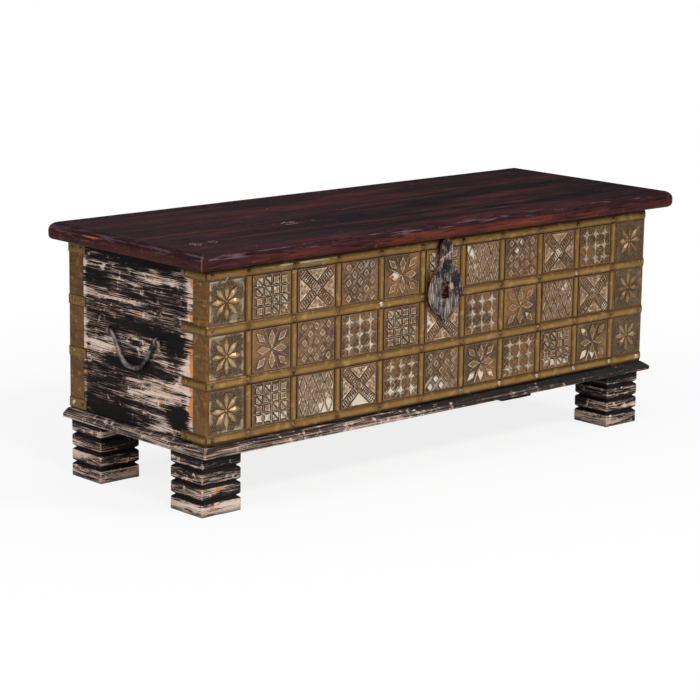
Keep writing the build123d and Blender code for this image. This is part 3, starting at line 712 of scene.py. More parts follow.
def scraped_paint(name, lift, scuffed, soiled, tight, drawn, worn, sheen, spots=(), lined=False):
    """Black over cream paint, scraped along the grain and rubbed to bare wood at the edges.

    Lift says how much of the black is gone, scuffed how brushed the rest is, soiled how dirty
    the cream is, tight how small the scrapes are, drawn how long, worn how rubbed the arrises
    are, sheen how glossy the coat is; spots list places of more or less wear, and lined leaves
    the inner faces bare."""
    s = bpy.context.scene.chest_wood
    t = Finish(name)

    def marks(across, up, detail, seed, low, high):
        along_grain = across * tight / drawn
        return t.streaks((along_grain, along_grain, up * tight), detail, seed, low, high)

    patch = marks(4.6, 26.0, 3.0, 3.3, 0.44, 0.60)
    scrape = marks(11.0, 150.0, 7.0, 4.0, 0.47, 0.52)
    thin = marks(34.0, 760.0, 6.0, 5.0, 0.50, 0.56)
    tint = marks(12.0, 80.0, 5.0, 6.0, 0.42, 0.64)
    pale = t.mix(tint.mask, s.undercoat, s.chalk)
    wear = t.edge_wear(0.005, 0.7, 70.0, 0.03, 0.14)
    deep = t.edge_wear(0.004, 0.8, 34.0, 0.14, 0.26)
    axes = t.axes()
    along = axes["Y"]
    above_base = t.ramp(axes["Z"], band_z[0] - band_width, band_z[0])
    by_sheet = t.times(t.ramp(along, sheet_edge_y + 30 * MM, sheet_edge_y + 8 * MM),
                       t.ramp(along, sheet_edge_y - 12 * MM, sheet_edge_y))
    by_back = t.times(t.ramp(along, back_sheet_y - 14 * MM, back_sheet_y - 2 * MM), 0.8)
    rim = t.times(t.larger(by_sheet, by_back), above_base)
    level = t.times(patch.noise, 2.0)
    for value, weight in ((scrape.noise, 1.2), (thin.noise, 1.7), (wear, worn), (rim, 0.30)):
        level = t.plus(level, t.times(value, weight))
    level = t.minus(level, t.times(axes["X"], 0.08))
    for y, z, reach_x, reach_y, reach_z, weight in spots:
        spot = t.spot((-end_x, y, z), (reach_x, reach_y, reach_z))
        level = t.plus(level, t.times(spot, weight))
    show = t.ramp(level, 2.71 - lift, 2.77 - lift)
    coat = t.mix(show, s.paint, pale)
    brushed = t.times(thin.mask, t.ramp(level, 2.50 - lift, 2.70 - lift))
    coat = t.mix(t.times(brushed, scuffed), coat, s.chalk)
    strip = t.ramp(t.noise(26.0, 6.0, 0.65), 0.42, 0.58, 17 * MM, 0.0)
    bare_edge = t.math("LESS_THAN", t.minus(along, sheet_edge_y), strip)
    bald = t.ramp(t.noise(27.0, 6.0, 0.65), 0.60, 0.64)
    bald = t.times(bald, show)
    bald = t.larger(bald, t.times(bare_edge, t.times(rim, show)))
    coat = t.mix(t.times(bald, 0.9), coat, s.bare)
    coat = t.mix(t.times(deep, 0.35), coat, s.bare)
    coat = t.mix(t.ramp(tint.noise, 0.4, 0.7, soiled, 0.0), coat, s.grime)
    # Painted shade: black paint laid where ambient occlusion finds the surface closed in, so
    # grooves and joins read darker.
    dirt_and_shade = t.crevices(0.016, 0.4, 0.88)
    coat = t.mix(t.times(dirt_and_shade, 0.94), coat, s.paint)
    if lined:
        shallow, deep_in = 0.8 * board_depth, 0.9 * board_depth
        inner = t.ramp(t.absolute(axes["X"]), end_x - shallow, end_x - deep_in)
        inner = t.times(inner, t.ramp(along, front_y + shallow, front_y + deep_in))
        inner = t.times(inner, t.ramp(along, back_y - shallow, back_y - deep_in))
        board = t.mix(t.times(scrape.mask, 0.5), s.board, s.stain_red)
        coat = t.mix(inner, coat, t.mix(t.times(thin.mask, 0.3), board, s.bare))
    t.shade(coat, t.ramp(thin.noise, 0.3, 0.7, 0.42, 0.75), t.plus(thin.noise, t.times(show, 0.6)),
            0.6, 0.8 * MM, Specular_IOR_Level=sheen)


def plain_board():
    """Unpainted boards: brown wood with lengthwise grain, painted shade in the corners."""
    s = bpy.context.scene.chest_wood
    t = Finish("plain_board")
    grain = t.streaks((5, 70, 70), 5.0, 7.0, 0.4, 0.65)
    fine = t.streaks((20, 420, 420), 4.0, 8.0, 0.45, 0.6)
    base = t.mix(t.times(grain.mask, 0.6), s.board, s.stain_red)
    base = t.mix(t.times(fine.mask, 0.4), base, s.bare)
    # Painted shade: dark stain laid where ambient occlusion finds the inside corners.
    dirt_and_shade = t.crevices(0.03, 0.3, 0.9)
    base = t.mix(t.times(dirt_and_shade, 0.7), base, s.stain_dark)
    t.shade(base, t.ramp(fine.noise, 0.3, 0.7, 0.6, 0.85), fine.noise, 0.3, 0.5 * MM)


def carved_wood():
    """Bronzed carving: dark in the ground, brown on the flats, silvery on the raised lines."""
    s = bpy.context.scene.chest_carving
    t = Finish("carved_wood")
    axes = t.axes()
    noise = t.noise(190.0, 5.0, 0.65)
    soft = t.noise(16.0, 4.0, 0.6)
    uneven = t.times(t.minus(noise, 0.5), 1.4 * MM)
    worn_depth = t.plus(axes["Y"], uneven)
    low = t.ramp(worn_depth, tile_face_y + 0.9 * MM, tile_face_y + 1.8 * MM)
    top = t.ramp(worn_depth, tile_face_y + 0.55 * MM, tile_face_y + 0.05 * MM)
    golden = t.ramp(axes["X"], -0.2, 0.45, 0.0, 0.45)
    base = t.mix(t.minus(t.ramp(soft, 0.38, 0.58), golden, True), s.bronze, s.wood)
    base = t.mix(t.ramp(axes["X"], -0.15, -0.5, 0.0, 0.1), base, s.rubbed)
    base = t.mix(t.times(t.ramp(noise, 0.46, 0.66), 0.5), base, s.ground)
    gold = t.mix(t.ramp(soft, 0.42, 0.6), s.ground, s.gold)
    base = t.mix(t.times(low, 0.9), base, gold)
    bright = t.times(top, t.ramp(noise, 0.38, 0.62, 0.95, 0.25))
    bright = t.times(bright, t.minus(1.0, t.times(golden, 0.8)))
    base = t.mix(bright, base, s.silver)
    blot = t.noise(23.0, 4.0, 0.6)
    hem = t.ramp(axes["Z"], band_z[0] + 40 * MM, band_z[0] + 22 * MM, 0.0, 0.16)
    plaster = t.ramp(t.plus(blot, hem), 0.62, 0.66)
    raised = t.ramp(axes["Y"], tile_face_y + 1.05 * MM, tile_face_y + 0.9 * MM)
    base = t.mix(t.times(t.times(plaster, raised), 0.8), base, s.rubbed)
    # Painted shade: the ground colour laid where ambient occlusion finds the carving closed in.
    dirt_and_shade = t.crevices(0.004, 0.3, 0.85)
    base = t.mix(t.times(dirt_and_shade, 0.85), base, s.ground)
    t.shade(base, t.ramp(noise, 0.3, 0.7, 0.32, 0.56), noise, 0.5, 0.5 * MM,
            Metallic=t.times(top, 0.45))


def from_lines(t, value, first, pitch):
    """Distance from the nearest of many evenly spaced lines."""
    start = first - 20.5 * pitch
    along = t.math("MODULO", t.minus(value, start), pitch)
    return t.absolute(t.minus(along, pitch / 2))


def aged_brass(name, grime, wrinkle, fold_depth, crest):
    """Antique brass: painted shade and tarnish in hollows, painted crest highlights, a few paint
    spots.
    """
    s = bpy.context.scene.chest_brass
    t = Finish(name)
    cloud = t.noise(26.0, 6.0, 0.65)
    grain = t.noise(380.0, 4.0, 0.7)
    base = t.mix(t.ramp(cloud, 0.40, 0.62, 0.05, 0.1 + grime * 0.7), s.brass, s.brass_dark)
    base = t.mix(t.times(t.ramp(grain, 0.50, 0.66), grime), base, s.brass_dark)
    rubbed = t.ramp(t.noise(70.0, 4.0), 0.56, 0.68, 0.0, 0.3)
    base = t.mix(rubbed, base, s.brass_bright)
    # Painted highlight: rubbed-brass colour in patches along each strip's crest, where it faces
    # straight out.
    crest_highlight = t.flanks(0.975, 0.9995)
    patchy = t.ramp(cloud, 0.34, 0.6, crest * 0.5, crest)
    base = t.mix(t.times(crest_highlight, patchy), base, s.brass_bright)
    axes = t.axes()
    off_bead = from_lines(t, axes["X"], bead_x[0], bead_pitch)
    off_band = from_lines(t, axes["Z"], band_z[0], row_pitch)
    smudge = t.times(t.ramp(off_bead, 17 * MM, 4 * MM), t.ramp(off_band, 14 * MM, 8 * MM))
    smudge = t.times(smudge, t.ramp(cloud, 0.36, 0.56, 0.25, 0.8))
    base = t.mix(t.times(smudge, crest * 2), base, s.brass_dark)
    # Painted shade: tarnish colour on the strips' flanks, where they turn away from the front.
    flanks = t.flanks(0.98, 0.84)
    base = t.mix(t.times(flanks, 0.92), base, s.brass_dark)
    # Painted shade where ambient occlusion finds the strips closed in by the tiles and each other,
    # partly real tarnish in the hollows.
    dirt_and_shade = t.crevices(0.006, 0.4, 0.97)
    base = t.mix(t.times(dirt_and_shade, 0.92), base, s.brass_dark)
    wear = t.edge_wear(0.0012, 0.5, 120.0, 0.08, 0.3)
    base = t.mix(t.times(wear, 0.5), base, s.brass_bright)
    spots = t.ramp(t.noise(52.0, 4.0, 0.65), 0.73, 0.745)
    base = t.mix(t.times(spots, 0.8), base, s.paint_spot)
    rim_z = band_z[-1] + band_width / 2
    rim = t.times(t.ramp(axes["Z"], rim_z - 8.2 * MM, rim_z - 7.6 * MM),
                  t.ramp(axes["Z"], rim_z - 4.6 * MM, rim_z - 5.2 * MM))
    reach = t.ramp(t.absolute(t.plus(axes["X"], 0.34)), 0.10, 0.04)
    left = t.streaks((30, 30, 90), 5.0, 13.0, 0.42, 0.46)
    base = t.mix(t.times(t.times(rim, reach), left.mask), base, s.paint_spot)
    base = t.mix(max(0.0, grime - 0.35) * 0.5, base, s.nail)
    slot = t.spot(SLOT_SHADOW, (12 * MM, 30 * MM, 12 * MM))
    base = t.mix(t.ramp(slot, 0.0, 0.4, 0.0, 0.9), base, s.brass_dark)
    crown = t.minus(1.0, t.times(flanks, 0.8))
    metallic = t.times(t.ramp(cloud, 0.35, 0.7, 0.8, 0.55), crown)
    folds = t.noise(wrinkle, 3.0)
    creases = t.streaks((wrinkle * 0.6, wrinkle * 0.6, wrinkle * 2.4), 2.0, 15.0, 0.45, 0.55).noise
    height = t.plus(t.plus(folds, creases), t.times(grain, 0.06))
    t.shade(base, t.ramp(grain, 0.3, 0.7, 0.30, 0.46), height, 0.6, fold_depth, Metallic=metallic,
            Specular_IOR_Level=0.25)


def star_brass():
    """Brass stars, bright on a dark stippled ground; pale patina and painted sheen to the left."""
    s = bpy.context.scene.chest_brass
    t = Finish("star_brass")
    axes = t.axes()
    depth = axes["Y"]
    ground_y = sheet_face_y - 0.3 * MM
    up = t.ramp(depth, ground_y - 0.25 * MM, ground_y - 0.9 * MM)
    stipple = t.add("TexVoronoi", Vector=t.place, Scale=520.0).outputs["Distance"]
    cloud = t.noise(34.0, 5.0, 0.65)
    grain = t.noise(300.0, 4.0, 0.7)
    ground = t.mix(t.ramp(cloud, 0.42, 0.6), s.brass_dark, s.star_ground)
    speckle = t.times(t.ramp(stipple, 0.42, 0.2), 0.4)
    ground = t.mix(speckle, ground, s.brass_bright)
    # Painted reflection, partly a pale patina: silvery grey on the ground of the left-hand panels,
    # strongest toward their rims, and a painted highlight on their raised border.
    off_x = t.absolute(t.minus(t.absolute(axes["X"]), star_x))
    off_z = t.absolute(t.minus(t.math("MODULO", t.minus(axes["Z"], band_z[0]), row_pitch),
                               row_pitch / 2))
    off_middle = t.larger(off_x, off_z)
    leftward = t.ramp(axes["X"], 0.0, -0.3)
    rim = t.times(t.ramp(off_middle, 24 * MM, 36 * MM), leftward)
    bloom_and_sheen = t.times(t.ramp(t.plus(cloud, t.times(rim, 0.10)), 0.59, 0.66),
                    t.ramp(stipple, 0.1, 0.4))
    ground = t.mix(t.times(bloom_and_sheen, 0.30), ground, s.star_patina_and_sheen)
    border = t.times(t.ramp(off_middle, 33 * MM, 35 * MM), leftward)
    ground = t.mix(t.times(border, t.ramp(cloud, 0.48, 0.58, 0.1, 0.75)), ground, s.star_patina_and_sheen)
    raised = t.mix(t.ramp(cloud, 0.36, 0.6), s.brass, s.petal)
    raised = t.mix(t.times(t.ramp(grain, 0.48, 0.64), 0.45), raised, s.brass_dark)
    # Painted highlight: silvery tops on the petals' ridges, stronger toward the left.
    ridge_top = t.ramp(depth, ground_y - 1.7 * MM, ground_y - 2.7 * MM)
    raised = t.mix(t.times(ridge_top, t.ramp(axes["X"], 0.2, -0.4, 0.15, 0.7)), raised,
                   s.star_patina_and_sheen)
    # Painted shade: the right-hand stars' petals darkened toward tarnish.
    raised = t.mix(t.ramp(axes["X"], 0.1, 0.4, 0.0, 0.3), raised, s.brass_dark)
    base = t.mix(up, ground, raised)
    # Painted shade round the petals where ambient occlusion finds them closed in, partly real
    # tarnish in the hollows.
    dirt_and_shade = t.crevices(0.004, 0.45, 0.97)
    base = t.mix(t.times(dirt_and_shade, 0.85), base, s.brass_dark)
    height = t.times(stipple, t.ramp(up, 0.0, 1.0, 1.0, 0.1))
    t.shade(base, t.ramp(grain, 0.3, 0.7, 0.38, 0.52), height, 0.7, 0.8 * MM,
            Metallic=t.ramp(up, 0.0, 1.0, 0.25, 0.7))


def nail_brass():
    """Browned nail heads with paler crowns."""
    s = bpy.context.scene.chest_brass
    t = Finish("nail_brass")
    cloud = t.noise(60.0, 2.0)
    wear = t.noise(700.0, 3.0)
    base = t.mix(t.ramp(cloud, 0.42, 0.6), s.nail, s.brass_dark)
    base = t.mix(t.times(t.ramp(wear, 0.5, 0.7), 0.6), base, s.brass_bright)
    painted = t.ramp(t.noise(17.0, 1.0), 0.60, 0.62)
    axes = t.axes()
    hem = t.times(t.ramp(axes["Z"], band_z[0] + 8 * MM, band_z[0] + 6 * MM),
                  t.ramp(axes["X"], 0.0, 0.1))
    painted = t.larger(painted, t.times(hem, t.ramp(wear, 0.42, 0.52)))
    base = t.mix(t.times(painted, 0.8), base, s.paint_spot)
    # Painted shade: a dark ring where ambient occlusion finds the head closed in against the
    # strip, partly real tarnish.
    dirt_and_shade = t.crevices(0.002, 0.35, 0.9)
    base = t.mix(dirt_and_shade, base, s.brass_dark)
    t.shade(base, t.ramp(wear, 0.3, 0.7, 0.3, 0.5), wear, 0.3, 0.3 * MM,
            Metallic=t.ramp(wear, 0.4, 0.7, 0.7, 0.4))


def forged_iron(name, streaky, bright, scratched):
    """Blue-black iron with vertical grain full of old paint, rust-brown at the rims."""
    s = bpy.context.scene.chest_iron
    t = Finish(name)
    grain = t.streaks((760, 760, 42), 6.0, 11.0, 0.50, 0.60)
    cloud = t.noise(45.0, 4.0, 0.6)
    spots = t.noise(130.0, 4.0, 0.6)
    base = t.mix(t.times(t.ramp(cloud, 0.45, 0.7), bright), s.iron, s.steel)
    patch = t.ramp(cloud, 0.40, 0.56)
    paint = t.times(t.times(grain.mask, patch), streaky)
    base = t.mix(paint, base, s.iron_streak)
    base = t.mix(t.ramp(spots, 0.62, 0.68, 0.0, 0.6), base, s.rust)
    wear = t.edge_wear(0.003, 0.4, 90.0, 0.02, 0.12)
    base = t.mix(t.times(wear, 0.85), base, s.rust)
    if scratched:
        staple_low, staple_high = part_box("staple")
        beside = ((staple_low + staple_high) / 2) + Vector((13, 0, 4)) * MM
        blot = t.spot(beside, (10 * MM, 0.1, 12 * MM))
        blot = t.times(blot, t.ramp(spots, 0.40, 0.50))
        base = t.mix(t.times(blot, 0.9), base, s.iron_streak)
        axes = t.axes()
        slant = t.minus(axes["Z"], t.times(axes["X"], 0.48))
        away = t.absolute(t.minus(slant, scratched))
        line = t.times(t.ramp(away, 1.5 * MM, 0.7 * MM), t.ramp(spots, 0.36, 0.46))
        base = t.mix(t.times(line, 0.9), base, s.iron_streak)
    t.shade(base, t.ramp(cloud, 0.3, 0.7, 0.38, 0.58), t.plus(grain.noise, cloud), 0.4, 0.5 * MM,
            Metallic=t.minus(0.7, t.times(paint, 0.65)))


def paint_nodes(nodes, material):
    """Give construction pieces that stay in view a finish of their own."""
    for node in nodes:
        piece = frame["nodes"][node]
        piece.data.materials.clear()
        piece.data.materials.append(bpy.data.materials[material])


# ------------------------------------------------------------------ profiles and sweeps
def rod(outline, moves):
    """Push a closed outline along straight moves and quarter turns.

    A straight move is a vector. A turn is (centre, axis, angle); spin counts angles clockwise."""
    obj = polygon(outline)
    for move in moves:
        if len(move) == 3 and isinstance(move[0], (float, int)):
            extrude(move)
        else:
            centre, axis, angle = move
            bpy.ops.mesh.spin(steps=5, angle=-angle, center=centre, axis=axis)
    return close_up(obj)


def wire(points, radii):
    """A drawn wire through points, thick and thin by its radii, made a mesh."""
    deselect()
    bpy.ops.curve.primitive_nurbs_path_add()
    curve = bpy.context.object
    spline = curve.data.splines[0]
    spline.points.add(len(points) - len(spline.points))
    for point, place, radius in zip(spline.points, points, radii):
        point.co = (*place, 1)
        point.radius = radius / MM
    spline.order_u = 3
    spline.use_endpoint_u = True
    spline.resolution_u = 6
    curve.data.bevel_depth = MM
    curve.data.bevel_resolution = 5
    curve.data.use_fill_caps = True
    bpy.ops.object.convert(target="MESH")
    return close_up(bpy.context.object)


def chip(outline, rise=1.0, rim=1.0, drop=1.0):
    """A carved island: an outline pushed up from the ground, with a rim and a lower middle.

    Rise, rim and drop are shares of the usual ones."""
    s = bpy.context.scene.chest_carving
    obj = polygon([(u * MM, 0, v * MM) for u, v in outline])
    extrude((0, -rise * tile_relief, 0))
    inset(rim * s.rim)
    inset(rim * s.rim * 0.5, -drop * s.rim_drop)
    return close_up(obj)


def ridge(start, end, rise=1.0):
    """A carved line: a narrow island whose sides lean in to its top."""
    width = bpy.context.scene.chest_carving.ridge_width
    first, last = Vector(start), Vector(end)
    along = (last - first).normalized()
    side = Vector((-along.y, along.x)) * width / 2 / MM
    outline = [first + side, first - side, last - side, last + side]
    obj = polygon([(p.x * MM, 0, p.y * MM) for p in outline])
    extrude((0, -rise * tile_relief * 0.35, 0))
    inset(width * 0.32, rise * tile_relief * 0.65)
    return close_up(obj)


def shift(u, v, turn=0.0):
    """Where a copy goes on a tile: across, up and turned in its plane."""
    return Matrix.Translation((u * MM, 0, v * MM)) @ Matrix.Rotation(math.radians(turn), 4, "Y")


def scattered(master, places):
    """Copies of a master at (across, up, turn) places; the master goes."""
    copies = [duplicate(master, shift(*place)) for place in places]
    discard(master)
    return copies


# ------------------------------------------------------------------ the carved tiles
def kite_motif():
    """Four long kites on the axes and four short ones in the corners."""
    long_kite = chip([(0, 1.5), (7.2, 21), (0, 34), (-7.2, 21)])
    parts = scattered(long_kite, [(0, 0, turn) for turn in (0, 90, 180, 270)])
    short_kite = chip([(0, 20), (6.5, 32), (0, 46), (-6.5, 32)])
    parts += scattered(short_kite, [(0, 0, turn) for turn in (48, 132, 228, 312)])
    for turn in (24, 66, 114, 156, 204, 246, 294, 336):
        turned = Matrix.Rotation(math.radians(turn), 2)
        parts.append(ridge(turned @ Vector((0, 9)), turned @ Vector((0, 40)), 0.8))
    return parts


def quarter_motif():
    """Sixteen cells: squares in two quarters, halved squares in the others."""
    half = 6.4
    dent = half - 1.6
    square = [(-half, -half), (0, -dent), (half, -half), (dent, 0), (half, half), (0, dent),
              (-half, half), (-dent, 0)]
    upper = [(-half + 2.5, half), (half, half), (half, -half + 2.5)]
    lower = [(-half, half - 2.5), (-half, -half), (half - 2.5, -half)]
    squares, halves = [], []
    for column in range(4):
        for row in range(4):
            place = ((column - 1.5) * 18.6, (row - 1.5) * 17, 0)
            (squares if (column < 2) != (row >= 2) else halves).append(place)
    parts = scattered(chip(square), squares)
    for half_square in (upper, lower):
        parts += scattered(chip(half_square), halves)
    for n in (-1, 0, 1):
        parts.append(ridge((n * 18.6, -36), (n * 18.6, 36)))
        parts.append(ridge((-40, n * 17), (40, n * 17)))
        parts.append(ridge((n * 18.6 - 40, n * 17 + 36.5), (n * 18.6 + 40, n * 17 - 36.5),
                           1.0 if n == 0 else 0.8))
    return parts


def cross_motif():
    """Two beaded bands cross between four plain raised triangles."""
    reach_u, reach_v, gap = 39.0, 34.5, 8.5
    along = Vector((reach_u, reach_v)).normalized()
    tip_u, tip_v = gap / along.y, gap / along.x
    top = [(0, tip_v + 2), (reach_u - tip_u - 3, reach_v), (-reach_u + tip_u + 3, reach_v)]
    flank = [(tip_u + 2, 0), (reach_u, -reach_v + tip_v + 3), (reach_u, reach_v - tip_v - 3)]
    bead = [(-1.7, -2.1), (0.7, -2.1), (1.7, 2.1), (-0.7, 2.1)]
    parts = []
    for triangle in (top, flank):
        parts += scattered(chip(triangle, drop=0.5), [(0, 0, 0), (0, 0, 180)])
    for lean in (-1, 1):
        run = Vector((along.x, along.y * lean))
        across = Vector((-run.y, run.x))
        for offset in (-6.4, 6.4):
            parts.append(ridge(run * -54 + across * offset, run * 54 + across * offset, 0.9))
        turned = -math.degrees(math.atan2(run.y, run.x))
        spots = [run * (n * 5.2) + across * row for n in range(-9, 10) for row in (-2.6, 2.6)]
        parts += scattered(chip(bead, 0.85, 0.5, 0.3),
                           [(spot.x, spot.y, turned) for spot in spots])
    return parts


def diamond_motif():
    """Rows of three and two diamonds inside a lattice of double lines."""
    places = [(column * 28 + row % 2 * 14, row * 14, 0) for row in range(-2, 3)
              for column in range(-2, 3)]
    parts = scattered(chip([(0, -7.2), (6.6, 0), (0, 7.2), (-6.6, 0)]),
                      [place for place in places if abs(place[0]) < 40])
    for reach in (-42, -14, 14, 42):
        for middle in (reach - 2.0, reach + 2.0):
            for lean in (-1, 1):
                parts.append(ridge((middle - 40, -40 * lean), (middle + 40, 40 * lean), 0.9))
    return parts


def lozenge_motif():
    """Tall lozenges packed side by side."""
    places = [(column * 20, row * 35, 0) for row in (-1, 0, 1) for column in range(-2, 3)]
    places += [(column * 20 + 10, row * 35, 0) for row in (-0.5, 0.5) for column in range(-2, 2)]
    parts = scattered(chip([(0, -15), (7.4, 0), (0, 15), (-7.4, 0)]), places)
    for middle in (-50, -30, -10, 10, 30, 50):
        for lean in (-1, 1):
            parts.append(ridge((middle - 22.9, -40 * lean), (middle + 22.9, 40 * lean), 0.9))
    return parts


def star_motif():
    """Nine four-pointed stars in a lattice of slanting lines."""
    star = []
    for n in range(8):
        reach = 10.5 if n % 2 == 0 else 5.0
        angle = n * math.pi / 4
        star.append((reach * math.sin(angle), reach * math.cos(angle)))
    parts = scattered(chip(star), [(u * 25.5, v * 23, 0) for u in (-1, 0, 1) for v in (-1, 0, 1)])
    for n in range(-5, 6):
        middle = n * 25.5 / 2
        for lean in (-1, 1):
            parts.append(ridge((middle - 51, -46 * lean), (middle + 51, 46 * lean),
                               0.9 if n % 2 else 0.7))
    return parts


MOTIFS = {"K": kite_motif, "A": quarter_motif, "X": cross_motif, "D": diamond_motif,
          "L": lozenge_motif, "Q": star_motif}
# The motifs of each row, from the bottom up and from left to right.
TILE_MOTIFS = ("ALXQDKQAK", "KDQAXQKLX", "AXDKALDXQ")


def tile_master(letter):
    """One carved tile about its own middle: a bordered field, its motif cut off at the border."""
    s = bpy.context.scene.chest_carving
    ground = tile_depth - tile_relief
    half_w, half_h = tile_width / 2, tile_height / 2
    frame_rise = tile_relief * 0.35
    plate = block((-half_w, -ground - frame_rise, -half_h), (half_w, 0, half_h))
    edit(plate)
    choose_front(plate)
    inset(s.border * 0.25)
    inset(s.border * 0.5)
    inset(s.border * 0.35, -frame_rise)
    motif = joined(MOTIFS[letter]())
    field_w, field_h = half_w - s.border, half_h - s.border
    edit(motif)
    for place, normal in (((field_w, 0, 0), (1, 0, 0)), ((-field_w, 0, 0), (-1, 0, 0)),
                          ((0, 0, field_h), (0, 0, 1)), ((0, 0, -field_h), (0, 0, -1))):
        take_all()
        bpy.ops.mesh.bisect(plane_co=place, plane_no=normal, clear_outer=True, use_fill=True)
    leave()
    motif.data.transform(Matrix.Translation((0, -ground, 0)))
    return joined([plate, motif])


class CHEST_OT_tiles(Operator):
    """Carve the six patterns once and set copies into the lattice"""

    bl_idname = "chest.tiles"
    bl_label = "Carved tiles"

    def execute(self, context):
        masters = {letter: tile_master(letter) for letter in MOTIFS}
        for column in range(TILE_COLUMNS):
            tiles = []
            for row in range(TILE_ROWS):
                place = Matrix.Translation((tile_x[column], front_y, tile_z[row]))
                tiles.append(duplicate(masters[TILE_MOTIFS[row][column]], place))
            name = "tiles_column_%d" % (column + 1)
            settle(joined(tiles), name, "carved_wood", "chest", ["carved_" + name],
                   25)
        discard(*masters.values())
        return {"FINISHED"}


# ------------------------------------------------------------------ finishes, lid and boards
class CHEST_OT_finishes(Operator):
    """Mix every finish once"""

    bl_idname = "chest.finishes"
    bl_label = "Finishes"

    def execute(self, context):
        build_groups()
        lid_stain()
        scraped_paint("scraped_paint", 0.0, 0.4, 0.05, 1.0, 1.7, 0.25, 0.06, END_SCRAPES, True)
        scraped_paint("rubbed_paint", 0.18, 0.5, 0.05, 1.5, 1.6, 0.42, 0.14, FOOT_SCRAPES)
        scraped_paint("drawn_paint", 0.01, 0.5, 0.1, 1.3, 4.0, 0.42, 0.2, MOULDING_SCRAPES)
        plain_board()
        carved_wood()
        aged_brass("band_brass", 0.35, 60.0, 1.6 * MM, 0.3)
        aged_brass("sheet_brass", 0.75, 30.0, 3.5 * MM, 0.0)
        star_brass()
        nail_brass()
        hasp_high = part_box("hasp")[1]
        forged_iron("hasp_iron", 0.95, 0.3, hasp_high.z - 31 * MM)
        forged_iron("handle_iron", 0.35, 0.8, 0)
        return {"FINISHED"}


def worn_copy(node, name, material, body="chest", round_edge=1.2, axis=0, cut=None,
              rough=0.0, size=0.05, smooth=40):
    """A construction piece with its edges rounded, cut into slices and made a little uneven."""
    obj = copy_of(node)
    modify(obj, "BEVEL", width=round_edge * MM, segments=3, limit_method="ANGLE",
           angle_limit=math.radians(25), harden_normals=False)
    if cut:
        slices(obj, axis, cut)
    if rough:
        roughen(obj, size, rough)
    settle(obj, name, material, body, [node], smooth)


def moulded_board(s):
    """The lid board: rounded all round its top, and below at the front and the ends."""
    board = block(lid_low, lid_high)

    def along(edge, height, back=True):
        ends = [vertex.co for vertex in edge.verts]
        at_back = all(abs(end.y - lid_high.y) < 0.1 * MM for end in ends)
        return (back or not at_back) and all(abs(end.z - height) < 0.1 * MM for end in ends)

    edit(board)
    choose(board, "EDGE", lambda edge: along(edge, lid_high.z))
    bpy.ops.mesh.bevel(offset=s.lid_round, segments=6, affect="EDGES")
    choose(board, "EDGE", lambda edge: along(edge, lid_low.z, back=False))
    bpy.ops.mesh.bevel(offset=s.lid_under, segments=5, affect="EDGES")
    return close_up(board)


class CHEST_OT_lid(Operator):
    """The stained lid board, its edges rounded by wear"""

    bl_idname = "chest.lid"
    bl_label = "Lid"

    def execute(self, context):
        s = context.scene.chest_wood
        board = moulded_board(s)
        slices(board, 0, s.slice_length)
        roughen(board, 0.06, s.edge_wobble * 0.5)
        settle(board, "lid_top", "lid_stain", "lid", ["lid_board"], 30)
        paint_nodes(["lid_batten_left", "lid_batten_right"], "plain_board")
        return {"FINISHED"}


class CHEST_OT_boards(Operator):
    """The painted sides of the box and its bare floor"""

    bl_idname = "chest.boards"
    bl_label = "Boards"

    def execute(self, context):
        paint_nodes(["front_panel", "back_panel", "left_panel", "right_panel"], "scraped_paint")
        paint_nodes(["floor_board"], "plain_board")
        return {"FINISHED"}


class CHEST_OT_base(Operator):
    """The moulding and the four grooved feet, their edges rubbed down"""

    bl_idname = "chest.base"
    bl_label = "Moulding and feet"

    def execute(self, context):
        s = context.scene.chest_wood
        worn_copy("moulding_front", "base_moulding_front", "drawn_paint", axis=0,
                  cut=s.slice_length, rough=s.edge_wobble)
        for side in SIDES:
            worn_copy("moulding_" + side, "base_moulding_" + side, "drawn_paint",
                      axis=1, cut=s.slice_length, rough=s.edge_wobble)
        for end in ("front", "back"):
            for side in SIDES:
                node = "foot_%s_%s" % (end, side)
                worn_copy(node, "grooved_" + node, "rubbed_paint",
                          round_edge=s.groove_round / MM, axis=0, cut=s.slice_length * 0.5,
                          rough=s.edge_wobble * 1.3, size=0.03)
        return {"FINISHED"}


# ------------------------------------------------------------------ the brass lattice
def crown_profile(width, rise):
    """Half a strip's section as (out, across) steps: square flanks and a low crown."""
    half = width / 2
    steps = [(0, half), (rise * 0.3, half), (rise * 0.62, half * 0.86), (rise * 0.87, half * 0.58),
             (rise * 0.995, half * 0.18)]
    return steps + [(out, -across) for out, across in reversed(steps)]


def nail_dimples(obj, places, reach, depth):
    """Sink the strip's face a little round each nail."""
    for vertex in obj.data.vertices:
        for place in places:
            away = (vertex.co - place).length
            if away < reach:
                pull = depth * (1 - (away / reach) ** 2)
                vertex.co.y += pull if abs(vertex.co.x) < end_x else 0


